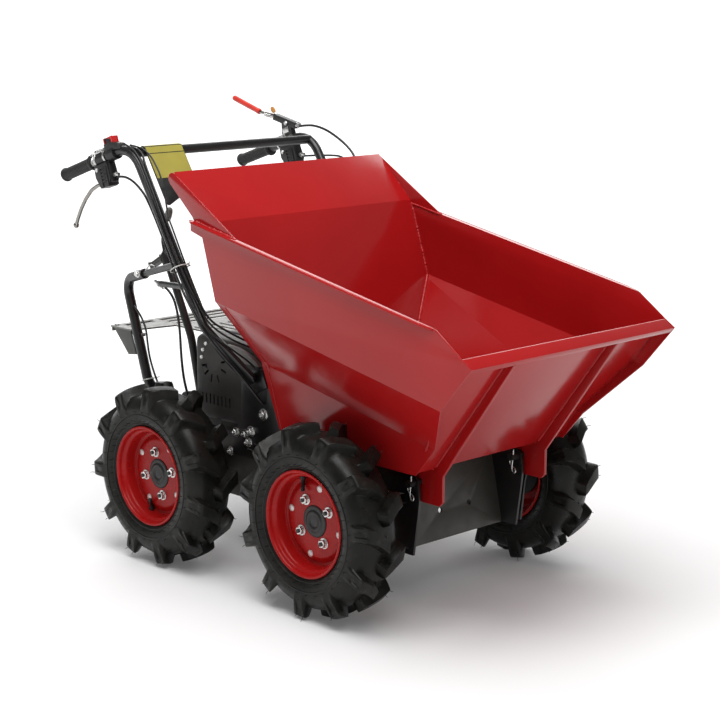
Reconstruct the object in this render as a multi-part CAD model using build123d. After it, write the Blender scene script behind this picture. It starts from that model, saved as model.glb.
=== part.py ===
from build123d import *
import math
import os

# Walk-behind four-wheel site dumper with a forward tipping hopper.
# Working frame while drawing: x forward with x = 0 at the front axle,
# y to the machine's left, z up from the ground.  Everything is shifted
# by X_SHIFT on writing so that the box is centred.  Millimetres.

X_SHIFT = 262.45

# wheels
TYRE_R = 208.0            # 4.00-8 tyre over the lugs
TYRE_BULGE = 57.5         # half section width
WHEEL_Y = 308.0           # middle of the tyre section
WHEELBASE = 526.0
RIM_R = 114.5             # flange radius
BARREL_R = 101.0          # bead seat radius
RIM_HALF = 52.0           # half width over the flanges
DISC_Y = 323.0            # outer face of the wheel disc
DISC_T = 4.0
HUB_BORE_R = 12.55
SPINDLE_R = 12.5
HUB_R = 34.0
HUB_FLANGE_R = 64.0
NUT_PCD = 100.0
NUT_HOLE_R = 5.5

# hopper sheet
T = 3.0
SLOPE = -0.194            # fall of the rail and of both side creases
SIDE_Y = 316.0            # outer face of the upper side
TUB_Y = 232.0             # outer face of the lower side
RAIL_Z0 = 721.6           # rail height at x = 0
CREASE1_Z0 = 567.3        # upper crease at x = 0
CREASE2_Z0 = 440.0        # lower crease at x = 0
FLOOR_Z = 328.0           # underside of the floor
BACK_TOP = (-355.0, 797.0)
BACK_BOTTOM = (-200.0, 328.0)
HEAD_TOP = (-463.0, 898.0)
LIP_D = (402.7, 608.8)
LIP_E = (428.0, 592.5)
FRONT_SLOPE = 1.164
PANEL_SLOPE = 1.32          # rise over run of the front panel, steeper than the free edge of the sides
RIB_Y = 160.0
RIB_T = 8.0

# tipping hinge
PIVOT = (146.0, 293.0)
PIN_R = 8.0
PIN_HOLE_R = 8.05

# chassis box
CH_Y = 145.0              # inner face of the side plates
CH_T = 5.0
CH_Z0, CH_Z1 = 136.0, 308.0
CH_X0, CH_X1 = -705.0, 100.0
AXLE_MID_R = 42.0
AXLE_Z = 208.0
AXLE_TUBE_R = 27.0
PLATE_HOLE_R = 6.0
PLATE_HOLE_Y = 45.0
PLATE_HOLE_Z = 196.0

# handlebar
BAR_R = 11.0
BAR_Y = 273.5
GRIP_END = (-923.0, 857.5)
BAR_K1 = (-665.5, 942.4)
BAR_K2 = (-416.0, 556.0)
BEND_R = 70.0
ARM_END = (-338.7, 199.0, 437.0)
GRIP_R = 14.0
GRIP_L = 112.0

OUT = "parts"
os.makedirs(OUT, exist_ok=True)


def prism(points, vector):
    """Closed polygon of 3-D points pushed along a vector."""
    face = Face(Wire.make_polygon([Vector(*p) for p in points], close=True))
    return Solid.extrude(face, Vector(*vector))


def prism_xz(points, y0, y1):
    return prism([(x, y0, z) for x, z in points], (0, y1 - y0, 0))


def box(x0, x1, y0, y1, z0, z1):
    return Pos((x0 + x1) / 2, (y0 + y1) / 2, (z0 + z1) / 2) * Box(x1 - x0, y1 - y0, z1 - z0)


def cyl_y(x, z, r, y0, y1):
    face = Plane(origin=(x, y0, z), x_dir=(1, 0, 0), z_dir=(0, 1, 0)) * Circle(r)
    return extrude(face, y1 - y0)


def cyl(p, q, r):
    p, q = Vector(*p), Vector(*q)
    return extrude(Plane(origin=p, z_dir=q - p) * Circle(r), (q - p).length)


def tube(points, radius, r):
    """Round bar along straight runs joined by tangent arcs."""
    path = FilletPolyline(*points, radius=radius) if len(points) > 2 else Line(*points)
    section = Plane(origin=path @ 0, z_dir=path % 0) * Circle(r)
    return sweep(section, path=path)


def mirror_y(shape):
    return mirror(shape, about=Plane.XZ)


def fuse(first, *rest):
    out = first
    for r in rest:
        out = out + r
    return out


def write(name, *shapes):
    solids = []
    for s in shapes:
        solids += s.solids()
    moved = [Pos(X_SHIFT, 0, 0) * s for s in solids]
    export_step(moved[0] if len(moved) == 1 else Compound(children=moved), f"{OUT}/{name}.step")


# ---------------------------------------------------------------- hopper
def rail_z(x):
    return RAIL_Z0 + SLOPE * x


# outer and inner lines of the side section at x = 0, from the rail down
outer = [(SIDE_Y, RAIL_Z0), (SIDE_Y, CREASE1_Z0), (TUB_Y, CREASE2_Z0), (TUB_Y, 100.0)]
band = math.atan2(SIDE_Y - TUB_Y, CREASE1_Z0 - CREASE2_Z0)   # lean of the band from upright
k = T * math.tan(band / 2)
inner = [(SIDE_Y - T, RAIL_Z0), (SIDE_Y - T, CREASE1_Z0 + k), (TUB_Y - T, CREASE2_Z0 + k), (TUB_Y - T, 100.0)]

X_BACK, X_AHEAD = -700.0, 700.0
RUN = (X_AHEAD - X_BACK, 0, SLOPE * (X_AHEAD - X_BACK))


def at(x, section):
    return [(x, y, z + SLOPE * x) for y, z in section]


sheet_left = prism(at(X_BACK, outer + inner[::-1]), RUN)
inside_half = [(-y, z) for y, z in inner[::-1]]
inside_top = [(SIDE_Y - T, RAIL_Z0 + 300), (-(SIDE_Y - T), RAIL_Z0 + 300)]
inside = prism(at(X_BACK, inner[::-1] + inside_top + [(-y, z) for y, z in inner]), RUN)

front_line = lambda z: LIP_E[0] - (LIP_E[1] - z) / FRONT_SLOPE       # free front edge of the sides
panel_line = lambda z: LIP_D[0] - (LIP_D[1] - z) / PANEL_SLOPE       # outer face of the front panel
back_line = lambda z: BACK_TOP[0] + (BACK_TOP[1] - z) * (BACK_BOTTOM[0] - BACK_TOP[0]) / (BACK_TOP[1] - BACK_BOTTOM[1])

side_outline = [
    (-404, rail_z(-404)), (334, rail_z(334)), LIP_D, LIP_E,
    (front_line(FLOOR_Z), FLOOR_Z), (-203, FLOOR_Z), (-270, 489), (-324.6, 631), (-365, 765), (-404, 776),
]
side_left = prism_xz(side_outline, 0, 400) & sheet_left
flange = [(-404, SIDE_Y - 0.0), (334, SIDE_Y - 0.0), (334, SIDE_Y + 1.5), (-404, SIDE_Y + 12)]
side_left = side_left + prism([(x, y, rail_z(x) - T) for x, y in flange], (0, 0, T))
side_right = mirror_y(side_left)

# normal shift along x that gives a sheet thickness T
back_dx = T * math.hypot(1, (BACK_BOTTOM[0] - BACK_TOP[0]) / (BACK_TOP[1] - BACK_BOTTOM[1]))
front_dx = T * math.hypot(1, 1 / PANEL_SLOPE)
floor = prism_xz([(back_line(FLOOR_Z) + back_dx, FLOOR_Z), (panel_line(FLOOR_Z) - front_dx, FLOOR_Z),
                  (panel_line(FLOOR_Z + T) - front_dx, FLOOR_Z + T), (back_line(FLOOR_Z + T) + back_dx, FLOOR_Z + T)],
                 -(TUB_Y - T), TUB_Y - T)

# back wall and the headboard folded from one sheet
hx, hz = HEAD_TOP[0] - BACK_TOP[0], HEAD_TOP[1] - BACK_TOP[1]
hl = math.hypot(hx, hz)
hn = (hz / hl, -hx / hl)                                  # towards the load
# inner fold point lies where both inner faces meet
bx, bz = BACK_BOTTOM[0] - BACK_TOP[0], BACK_BOTTOM[1] - BACK_TOP[1]
bl = math.hypot(bx, bz)
bn = (-bz / bl, bx / bl)
den = 1 + hn[0] * bn[0] + hn[1] * bn[1]
fold = (BACK_TOP[0] + T * (hn[0] + bn[0]) / den, BACK_TOP[1] + T * (hn[1] + bn[1]) / den)
back = prism_xz([BACK_TOP, BACK_BOTTOM, (BACK_BOTTOM[0] + back_dx, BACK_BOTTOM[1]), fold,
                 (HEAD_TOP[0] + T * hn[0], HEAD_TOP[1] + T * hn[1]), HEAD_TOP], -400, 400) & inside

# front panel, lip and turned-down edge
panel = prism_xz([(panel_line(FLOOR_Z), FLOOR_Z), LIP_D, (LIP_D[0] - front_dx, LIP_D[1]),
                  (panel_line(FLOOR_Z) - front_dx, FLOOR_Z)], -400, 400)
lx, lz = LIP_E[0] - LIP_D[0], LIP_E[1] - LIP_D[1]
ll = math.hypot(lx, lz)
ln = (lz / ll, -lx / ll)                                   # downwards
lip = prism_xz([(LIP_D[0] - front_dx, LIP_D[1]), LIP_D, LIP_E, (LIP_E[0] - 10.0, LIP_E[1] - 11.6),
                (LIP_E[0] - 13.5, LIP_E[1] - 9.0), (LIP_E[0] - 5.0, LIP_E[1] - 1.0),
                (LIP_D[0] + T * ln[0], LIP_D[1] + T * ln[1]), (panel_line(595.0), 595.0), (panel_line(595.0) - front_dx, 595.0)],
               -400, 400)
front = (panel + lip) & inside

# side returns of the headboard, welded on the rails
ear_pts = [(-479, 880), (-463, 898), (-251.5, rail_z(-251.5)), (-392, rail_z(-392))]
ear_left = prism_xz(ear_pts, SIDE_Y - T, SIDE_Y)
ear_right = mirror_y(ear_left)

# stiffening ribs that run down into the hinge feet
rib_pts = [(panel_line(586.0), 586.0), (399.0, 574.5), (212.0, 314.3), (212.0, 259.0), (203.0, 250.0),
           (154.0, 250.0), (130.0, 264.0), (122.0, 280.0), (122.0, FLOOR_Z), (panel_line(FLOOR_Z), FLOOR_Z)]
rib_left = prism_xz(rib_pts, RIB_Y - RIB_T / 2, RIB_Y + RIB_T / 2)
rib_left = rib_left - cyl_y(PIVOT[0], PIVOT[1], PIN_HOLE_R, RIB_Y - 20, RIB_Y + 20)
rib_right = mirror_y(rib_left)

write("hopper_floor", floor)
write("hopper_side_left", side_left)
write("hopper_side_right", side_right)
write("hopper_back", back)
write("hopper_front", front)
write("hopper_ears", ear_left, ear_right)
write("hopper_rib_left", rib_left)
write("hopper_rib_right", rib_right)

# ---------------------------------------------------------------- wheels
def revolved(points, x):
    """Closed line given as (radius, y) turned about the wheel's own axis."""
    face = Face(Wire.make_polygon([Vector(x + r, y, AXLE_Z) for r, y in points], close=True))
    return revolve(face, axis=Axis((x, 0, AXLE_Z), (0, 1, 0)))


def tyre(x):
    y0, y1 = WHEEL_Y - TYRE_BULGE, WHEEL_Y + TYRE_BULGE
    h = RIM_HALF - 4.0
    p = lambda r, y: (x + r, y, AXLE_Z)
    edges = [
        Line(p(BARREL_R, WHEEL_Y - h), p(BARREL_R, WHEEL_Y + h)),
        Line(p(BARREL_R, WHEEL_Y + h), p(RIM_R + 1, WHEEL_Y + h)),
        ThreePointArc(p(RIM_R + 1, WHEEL_Y + h), p(155, y1), p(196, WHEEL_Y + 42)),
        ThreePointArc(p(196, WHEEL_Y + 42), p(TYRE_R, WHEEL_Y), p(196, WHEEL_Y - 42)),
        ThreePointArc(p(196, WHEEL_Y - 42), p(155, y0), p(RIM_R + 1, WHEEL_Y - h)),
        Line(p(RIM_R + 1, WHEEL_Y - h), p(BARREL_R, WHEEL_Y - h)),
    ]
    return revolve(make_face(edges), axis=Axis((x, 0, AXLE_Z), (0, 1, 0)))


def rim(x, turn):
    a, b = WHEEL_Y - RIM_HALF, WHEEL_Y + RIM_HALF
    d0, d1 = DISC_Y - DISC_T, DISC_Y
    ring = revolved([(HUB_R + 0.5, d0), (78, d0), (90, d0 - 8), (97, d0 - 8), (97, a), (RIM_R, a), (RIM_R, a + 4), (BARREL_R, a + 4),
                     (BARREL_R, b - 4), (RIM_R, b - 4), (RIM_R, b), (97, b), (97, d1 - 8), (91.5, d1 - 8), (79.5, d1), (HUB_R + 0.5, d1)], x)
    for i in range(4):
        t = math.radians(turn + 90 * i)
        ring = ring - cyl_y(x + NUT_PCD / 2 * math.cos(t), AXLE_Z + NUT_PCD / 2 * math.sin(t), NUT_HOLE_R, d0 - 5, d1 + 5)
    return ring


def hub(x):
    d0 = DISC_Y - DISC_T
    h = revolved([(HUB_BORE_R, 243), (26, 243), (26, d0 - 9), (HUB_FLANGE_R, d0 - 9), (HUB_FLANGE_R, d0), (HUB_R, d0),
                  (HUB_R, DISC_Y + 1), (HUB_R - 1.5, DISC_Y + 2.5), (0, DISC_Y + 2.5), (0, DISC_Y - 3), (HUB_BORE_R, DISC_Y - 3)], x)
    return h


for place, x, turn in (("front", 0.0, 33.5), ("rear", -WHEELBASE, 13.5)):
    for hand in ("left", "right"):
        put = (lambda s: s) if hand == "left" else mirror_y
        write(f"tyre_{place}_{hand}", put(tyre(x)))
        write(f"rim_{place}_{hand}", put(rim(x, turn)))
        write(f"hub_{place}_{hand}", put(hub(x)))

# ---------------------------------------------------------------- chassis
def axle(x):
    middle = cyl_y(x, AXLE_Z, AXLE_MID_R, -46, 46)
    tubes = cyl_y(x, AXLE_Z, AXLE_TUBE_R, -238, 238)
    spindle = cyl_y(x, AXLE_Z, SPINDLE_R, -(DISC_Y - 4), DISC_Y - 4)
    return fuse(middle, tubes, spindle)


write("axles", axle(0.0), axle(-WHEELBASE))

plate_pts = [(CH_X0, 150), (CH_X0 + 14, CH_Z0), (CH_X1, CH_Z0), (CH_X1, 300), (CH_X1 - 10, CH_Z1), (-560, CH_Z1), (CH_X0, 250)]
plate_left = prism_xz(plate_pts, CH_Y, CH_Y + CH_T)
for x in (0.0, -WHEELBASE):
    plate_left = plate_left - cyl_y(x, AXLE_Z, AXLE_TUBE_R, 100, 200)
write("chassis_sides", plate_left, mirror_y(plate_left))

# floor plate under the gearbox and engine, open ahead of the gearbox
write("belly_plate", box(CH_X0 + 14, -75, -CH_Y, CH_Y, CH_Z0, CH_Z0 + 4))
# nose plate, leaning back at its top
lean = Vector(-36, 0, 167).normalized()
square = Vector(lean.Z, 0, -lean.X)
nose = prism_xz([(CH_X1 + 7, CH_Z0), (71, 303), (66.1, 301.9), (100.2, 143.8), (CH_X1, 143.8), (CH_X1, CH_Z0)], -139, 139)
hole_x = CH_X1 + 7 - (PLATE_HOLE_Z - CH_Z0) * 36 / 167
for s in (-1, 1):
    mid = Vector(hole_x, s * PLATE_HOLE_Y, PLATE_HOLE_Z)
    nose = nose - cyl(tuple(mid - square * 20), tuple(mid + square * 20), PLATE_HOLE_R)
write("front_plate", nose)

# hinge cheeks: a deep one on the clip side of each hopper foot and one cut back below the foot on its other side
deep_pts = [(147, CH_Z0), (160, 225), (163.5, 255), (163, 276), (159, 299), (151, 308)]
mid_pts = [(128, CH_Z0), (139, 225), (147, 260), (163, 284), (159, 299), (151, 308)]
slim_pts = [(112, CH_Z0), (112, 240), (146, 264), (163, 284), (159, 299), (151, 308)]


def inner_cheek(front_pts):
    return prism_xz([(60, CH_Z0)] + front_pts + [(60, 308)], CH_Y - 6, CH_Y) - cyl_y(PIVOT[0], PIVOT[1], PIN_R, 120, 200)


def outer_cheek(front_pts):
    cheek = fuse(prism_xz([(92, CH_Z0)] + front_pts + [(92, 308)], 176, 182), box(92, 97, CH_Y + CH_T, 182, CH_Z0, 306))
    return cheek - cyl_y(PIVOT[0], PIVOT[1], PIN_R, 120, 200)


write("hinge_brackets", inner_cheek(deep_pts), outer_cheek(mid_pts), mirror_y(inner_cheek(slim_pts)), mirror_y(outer_cheek(deep_pts)))
pin_left = fuse(cyl_y(*PIVOT, PIN_R, 119, 190), cyl_y(*PIVOT, 12, 190, 195))
pin_right = fuse(cyl_y(*PIVOT, PIN_R, -198, -130), cyl_y(*PIVOT, 12, -130, -125))
write("hinge_pins", pin_left, pin_right)

# cross member with the buffers that carry the lowered hopper
bar = box(-175, -125, -CH_Y, CH_Y, 268, 308)
for s in (-1, 1):
    bar = bar + Pos(-150, s * 100, 317) * Cylinder(18, 18)

gearbox = fuse(box(-300, -70, -95, 95, CH_Z0 + 4, 250), box(-250, -110, -70, 70, 250, 262))
gearbox = fuse(gearbox, cyl((-70, 0, AXLE_Z), (-40, 0, AXLE_Z), 24), cyl((-300, 0, AXLE_Z), (-WHEELBASE + 40, 0, AXLE_Z), 24))
gearbox = gearbox - cyl_y(0, AXLE_Z, AXLE_MID_R, -46, 46) - cyl_y(-WHEELBASE, AXLE_Z, AXLE_MID_R, -46, 46)
write("gearbox", gearbox)

# engine with its fan cover towards the machine's right
bed = box(-560, -290, -CH_Y, CH_Y, 258, 264)
engine = fuse(box(-545, -305, -112, 105, 264, 312), box(-540, -315, -118, 100, 312, 452))
head = prism([(-470, y, z) for y, z in ((100, 330), (175, 375), (130, 450), (100, 440))], (120, 0, 0))
write("engine_block", fuse(engine, head))
cover_pts = [(-574, 345), (-562, 322), (-538, 312), (-346, 312), (-324, 321), (-315, 340), (-315, 400), (-328, 458), (-361, 492), (-411, 507), (-558, 511), (-574, 497)]
cover = prism_xz(cover_pts, -178, -118)
cover = chamfer(cover.faces().sort_by(Axis.Y)[0].edges(), 9)
write("fan_cover", cover)
tank = box(-425, -305, -112, 90, 452, 520)
tank = fillet(tank.edges().filter_by(Axis.Z), 18)
tank = chamfer(tank.faces().sort_by(Axis.Z)[-1].edges(), 8)
tank = tank + Pos(-375, -60, 527) * Cylinder(26, 14)
write("fuel_tank", tank)
muffler = box(-590, -480, 108, 200, 322, 432)
muffler = fillet(muffler.edges(), 14) + cyl((-484, 150, 392), (-470, 150, 392), 12)
write("muffler", muffler)
cleaner = fillet(box(-538, -440, -110, 20, 452, 510).edges(), 12)
write("air_cleaner", cleaner)

# folded uprights that hold the handlebar arms
up_pts = [(-425, 250), (-225, 250), (-238, 300), (-280, 383), (-319, 462), (-353, 457), (-392, 428), (-392, 330), (-425, 300)]
up = prism_xz(up_pts, 183, 188)
up = fuse(up, box(-392, -387, CH_Y + CH_T, 183, 250, 308), box(-230, -225, CH_Y + CH_T, 183, 250, 308))
write("upright_plates", up, mirror_y(up))

# ---------------------------------------------------------------- handlebar
def bar_side(s):
    pts = [(GRIP_END[0] + 6, s * BAR_Y, GRIP_END[1] + 2), (BAR_K1[0], s * BAR_Y, BAR_K1[1]), (BAR_K2[0], s * BAR_Y, BAR_K2[1]),
           (ARM_END[0], s * ARM_END[1], ARM_END[2])]
    return tube(pts, [BEND_R, 45.0], BAR_R)


bar_left, bar_right = bar_side(1), bar_side(-1)
CROSS = (-667.0, 925.0)
cross = cyl((CROSS[0], -BAR_Y, CROSS[1]), (CROSS[0], BAR_Y, CROSS[1]), BAR_R) - bar_left - bar_right
cross = max(cross.solids(), key=lambda s: s.volume)
write("handlebar", fuse(bar_left, cross, bar_right))

gd = Vector(BAR_K1[0] - GRIP_END[0] - 6, 0, BAR_K1[1] - GRIP_END[1] - 2).normalized()
grips = []
for s in (-1, 1):
    p0 = Vector(GRIP_END[0] + 6, s * BAR_Y, GRIP_END[1] + 2)
    body = fuse(cyl(tuple(p0 - gd * 12), tuple(p0 + gd * GRIP_L), GRIP_R), cyl(tuple(p0 - gd * 12), tuple(p0 - gd * 4), 16.5),
                cyl(tuple(p0 + gd * (GRIP_L - 8)), tuple(p0 + gd * GRIP_L), 18.5))
    grips.append(body - cyl(tuple(p0), tuple(p0 + gd * (GRIP_L + 20)), BAR_R))
write("handle_grips", *grips)

leg_d = Vector(BAR_K2[0] - BAR_K1[0], 0, BAR_K2[1] - BAR_K1[1]).normalized()
leg_n = Vector(-leg_d.Z, 0, leg_d.X)
ahead = 1 if leg_n.X > 0 else -1
c0 = Vector(CROSS[0], 0, CROSS[1]) + leg_n * (ahead * BAR_R)
plate_outline = [(-243, -8), (-135, -8), (-135, 62), (-152, 108), (-206, 131), (-234, 144), (-241, 143), (-243, 138)]
ctrl = prism([tuple(c0 + leg_d * d + Vector(0, y, 0)) for y, d in plate_outline], tuple(leg_n * (2.5 * ahead)))
write("control_plate", ctrl)

# lever clamps, ratchet bodies and stop switch
def along(t, s, up=0.0):
    """Point on a grip's line: t from the tube's outer end, up square to it."""
    n = Vector(-gd.Z, 0, gd.X)
    return Vector(GRIP_END[0] + 6, s * BAR_Y, GRIP_END[1] + 2) + gd * t + n * up


def clamp(s, t0, t1, r):
    return cyl(tuple(along(t0, s)), tuple(along(t1, s)), r) - cyl(tuple(along(t0 - 5, s)), tuple(along(t1 + 5, s)), BAR_R)


def slab(s, pts, y0, y1):
    return prism([tuple(along(t, s, u) + Vector(0, y0, 0)) for t, u in pts], (0, y1 - y0, 0))


ratchet_pts = {-1: [(122, -13), (172, -13), (176, -54), (164, -69), (132, -68), (120, -40)],
               1: [(156, -13), (206, -13), (212, -50), (200, -70), (168, -68), (154, -36)]}
ratchets = {}
for s, hand in ((-1, "right"), (1, "left")):
    t0 = ratchet_pts[s][0][0] + 4
    ratchets[s] = clamp(s, t0, t0 + 36, 14.5 if s < 0 else 17) + slab(s, ratchet_pts[s], -13, 13)
write("ratchet_brackets", ratchets[-1], ratchets[1])

# brake lever under the right grip
lev = [along(136, -1, -58)] + [Vector(x, -BAR_Y, z) for x, z in ((-799, 841), (-826, 827.5), (-850.6, 804.4), (-869.7, 780), (-884.2, 755.7), (-892.2, 738.9))]
write("brake_lever", fuse(tube([tuple(p) for p in lev], 50, 4.5), Pos(*lev[-1]) * Sphere(7.0)) - ratchets[-1])

# drive lever above the left grip
head_block = slab(1, [(149, 64), (157, 77), (229, 34), (221, 21)], -8, 8) + slab(1, [(168, 12), (207, 12), (207, 38), (180, 58)], -7, 7)
head_block = head_block - cyl(tuple(along(140, 1)), tuple(along(235, 1)), BAR_R) - ratchets[1]
head_block = max(head_block.solids(), key=lambda q: q.volume)
stem = [along(170, 1, 62), along(140, 1, 79), along(100, 1, 97), along(16, 1, 157)]
write("drive_lever", fuse(tube([tuple(p) for p in stem], 40, 4.0), cyl(tuple(along(98, 1, 98.5)), tuple(along(16, 1, 157)), 6.5)) - head_block)
write("drive_lever_body", head_block)

# stop switch on the right tube
sw = fuse(clamp(-1, 178, 206, 16), slab(-1, [(176, 8), (176, 25), (200, 27), (226, 16), (233, 2), (206, 6)], -12, 12),
          slab(-1, [(175, 24), (206, 24), (205, 32), (177, 40)], -8, 8)) - bar_right
sw = max(sw.solids(), key=lambda q: q.volume)
write("stop_switch", sw)

# ---------------------------------------------------------------- rear guard, rack and gear lever
GUARD_R = 12.0
guard = []
for s, bar_solid in ((-1, bar_right), (1, bar_left)):
    top = Vector(-690, s * 226, 640)
    start = Vector(-800, s * 200, 612)
    run = (top - start).normalized()
    loop = tube([(-664, s * 162, 190), (-690, s * 162, 286), (-724, s * 200, 380), tuple(start), tuple(top)], 38, GUARD_R)
    rod = cyl(tuple(top - run * 10), tuple(top + run * 205), 8.0) - bar_solid
    stub = cyl((-606, s * 244, 628), (-450, s * 274, 640), 7.0) - bar_solid
    guard += [fuse(loop, rod.solids().sort_by(Axis.X)[0]), stub.solids().sort_by(Axis.X)[0]]
write("rear_guard", *guard)
deck = box(-700, -572, -CH_Y, CH_Y, 240, 246)
write("cross_members", bar, bed, deck)

rack = prism([(x, y, 488) for x, y in ((-862, -204), (-779, -204), (-756, -88), (-562, -88), (-562, 182), (-862, 182))], (0, 0, 4))
for x0 in (-846, -812, -778):
    rack = rack - box(x0, x0 + 18, -72, 150, 480, 500)
rack = rack - box(-846, -828, -176, -92, 480, 500)
write("rear_rack", rack)
cheek_r = prism_xz([(-848, 488), (-782, 488), (-762, 434), (-792, 430)], -204, -200)
cheek_l = prism_xz([(-848, 488), (-782, 488), (-762, 434), (-792, 430)], 178, 182)
write("rack_cheeks", cheek_r, cheek_l)

lever = tube([(-600, -120, 246), (-655, -120, 480), (-744, -120, 660)], 150, 9.5)
lever = fuse(cyl((-600, -120, 246), (-600, -120, 260), 20), lever) - box(-680, -540, -170, -70, 200, 246)
shift_rod = tube([(-747, -120, 666), (-757, -120, 700), (-748, -120, 738), (-733, -120, 768)], 40, 5.0)
write("gear_lever", fuse(lever, Pos(-747, -120, 666) * Sphere(12), shift_rod, Pos(-732, -120, 771) * Sphere(8)))

# ---------------------------------------------------------------- control cables
def leg(t, n, dy, s):
    """Point beside a handlebar leg: t up the leg, n ahead of it, dy outward."""
    return (-465.1 - 0.542 * t + 0.84 * n, s * (BAR_Y + dy), 631.9 + 0.84 * t + 0.542 * n)


def arm(f, off, s):
    """Point beside the lower arm: f along it, off outward."""
    x = BAR_K2[0] + f * (ARM_END[0] - BAR_K2[0]) + 0.252 * off
    y = BAR_Y + f * (ARM_END[1] - BAR_Y) + 0.886 * off
    return (x, s * y, BAR_K2[1] + f * (ARM_END[2] - BAR_K2[1]) - 0.388 * off)


def cable(points, r):
    """Round cable on straight runs joined by the largest tangent arcs."""
    v = [Vector(*q) for q in points]
    radii = []
    for a, b, c in zip(v, v[1:], v[2:]):
        turn = math.radians((b - a).get_angle(c - b))
        radii.append(0.45 * min((b - a).length, (c - b).length) / math.tan(turn / 2))
    path = FilletPolyline(*points, radius=radii)
    body = sweep(Plane(origin=path @ 0, z_dir=path % 0) * Circle(r), path=path)
    print("cable", round(path.length), "mm, radii", [round(q) for q in radii], "volume ratio", round(body.volume / (math.pi * r * r * path.length), 3))
    return body


CABLES = {
    "brake": (2.8, [(-732, -273.5, 866), (-711, -273.5, 868.5), (-689, -273.5, 868.5), (-664, -273, 861), (-638, -273, 846), (-614, -273, 826),
                    leg(170, -17.5, 0, -1), leg(115, -16.5, 3, -1), leg(60, -14, 8, -1), leg(10, -8, 13, -1), leg(-40, 1, 16, -1), (-403, -290.5, 557),
                    arm(0.42, 17, -1), arm(0.85, 18, -1), (-321, -206, 405), (-313, -191.3, 384)]),
    "switch": (2.4, [(-687, -277, 944), (-659, -277.5, 936.5), (-634, -278, 919), leg(300, 15.5, 5, -1), leg(235, 15.5, 6, -1), leg(165, 14, 9, -1), leg(95, 12.5, 11, -1),
                     leg(30, 14, 10, -1), leg(-30, 16, 6, -1), (-398, -277, 567), (-378, -245, 537), (-360, -205, 513), (-348, -165, 499), (-340, -132, 491), (-337, -114.2, 488)]),
    "drive": (3.0, [(-704, 273.5, 955), (-679, 273.5, 959), (-646, 273, 960), (-606, 272.5, 952.5), (-570, 272, 938.5), (-538, 271, 923), (-508, 270, 903), (-487, 269, 872),
                    (-479, 269, 835), (-486, 270, 788), leg(110, 17.5, 0, 1), leg(60, 15.5, 1, 1), leg(0, 15.5, 2, 1), leg(-50, 16.5, 4, 1), (-396, 276, 563),
                    arm(0.42, 18, 1), arm(0.85, 18, 1), (-321, 206, 405), (-313, 191.3, 384)]),
    "hold": (2.5, [(-698, 273.5, 881), (-672, 280, 884), (-640, 289, 886), (-606, 290, 888.5), (-570, 288.5, 889), (-538, 285, 878), (-518, 282, 846), (-512, 281, 800),
                   leg(120, 22, 9, 1), leg(70, 14, 11, 1), leg(15, 10, 13, 1), leg(-35, 6, 15, 1), (-412, 291, 562), arm(0.3, 25, 1), arm(0.75, 26, 1), (-345, 211, 415), (-338, 191.3, 396)]),
    "clutch": (3.0, [(-613, -233, 622), (-597, -231, 613), (-582, -228, 596), (-573, -225, 566), (-571, -220, 522), (-574, -215, 450), (-570, -210, 392), (-554, -205, 347),
                     (-530, -196, 315), (-508, -177, 297), (-497, -153.6, 290)]),
    "rear": (2.5, [(-765, -204.5, 551), (-744, -211, 546), (-713, -218, 526), (-695, -222, 502), (-691, -222.5, 471), (-687, -220.5, 440), (-679, -217, 410), (-667, -211, 374),
                   (-654, -199, 335), (-641, -175, 296), (-634, -153.4, 268)]),
}
write("control_cables", *[cable(pts, r) for r, pts in CABLES.values()])
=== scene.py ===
import math
import random
import bpy
import bmesh
from mathutils import Matrix, Vector, noise


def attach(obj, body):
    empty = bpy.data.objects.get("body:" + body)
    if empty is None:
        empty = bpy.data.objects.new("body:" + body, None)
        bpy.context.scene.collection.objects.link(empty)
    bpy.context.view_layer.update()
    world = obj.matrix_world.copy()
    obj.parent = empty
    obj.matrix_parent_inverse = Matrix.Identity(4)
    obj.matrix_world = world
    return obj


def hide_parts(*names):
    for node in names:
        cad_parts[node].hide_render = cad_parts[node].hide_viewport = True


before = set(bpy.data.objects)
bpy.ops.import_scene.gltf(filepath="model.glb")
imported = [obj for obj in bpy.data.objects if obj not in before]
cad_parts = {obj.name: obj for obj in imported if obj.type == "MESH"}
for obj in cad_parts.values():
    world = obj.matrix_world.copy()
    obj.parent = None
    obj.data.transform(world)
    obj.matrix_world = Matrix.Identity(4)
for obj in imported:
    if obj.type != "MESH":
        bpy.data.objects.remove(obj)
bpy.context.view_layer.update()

XS = 0.26245          # the model's x = 0 lies this far behind the front axle


def F(x, y, z):
    """Millimetres from the front axle to the model's frame in metres."""
    return Vector((x / 1000 + XS, y / 1000, z / 1000))


# ------------------------------------------------------------------ camera
cam = bpy.data.cameras.new("camera")
cam_obj = bpy.data.objects.new("camera", cam)
bpy.context.scene.collection.objects.link(cam_obj)
c_right = Vector((0.6920, 0.7219, 0)).normalized()
c_fwd = Vector((-0.7069, 0.6777, -0.2025)).normalized()
c_up = c_right.cross(c_fwd).normalized()
mw = Matrix((c_right, c_up, -c_fwd)).transposed().to_4x4()
mw.translation = Vector((2.6988 + XS, -2.7889, 1.3017))
cam_obj.matrix_world = mw
cam.sensor_width = 36
cam.lens = 91.44
cam.shift_x = 0.00385
cam.shift_y = 0.00287
bpy.context.scene.camera = cam_obj


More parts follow.
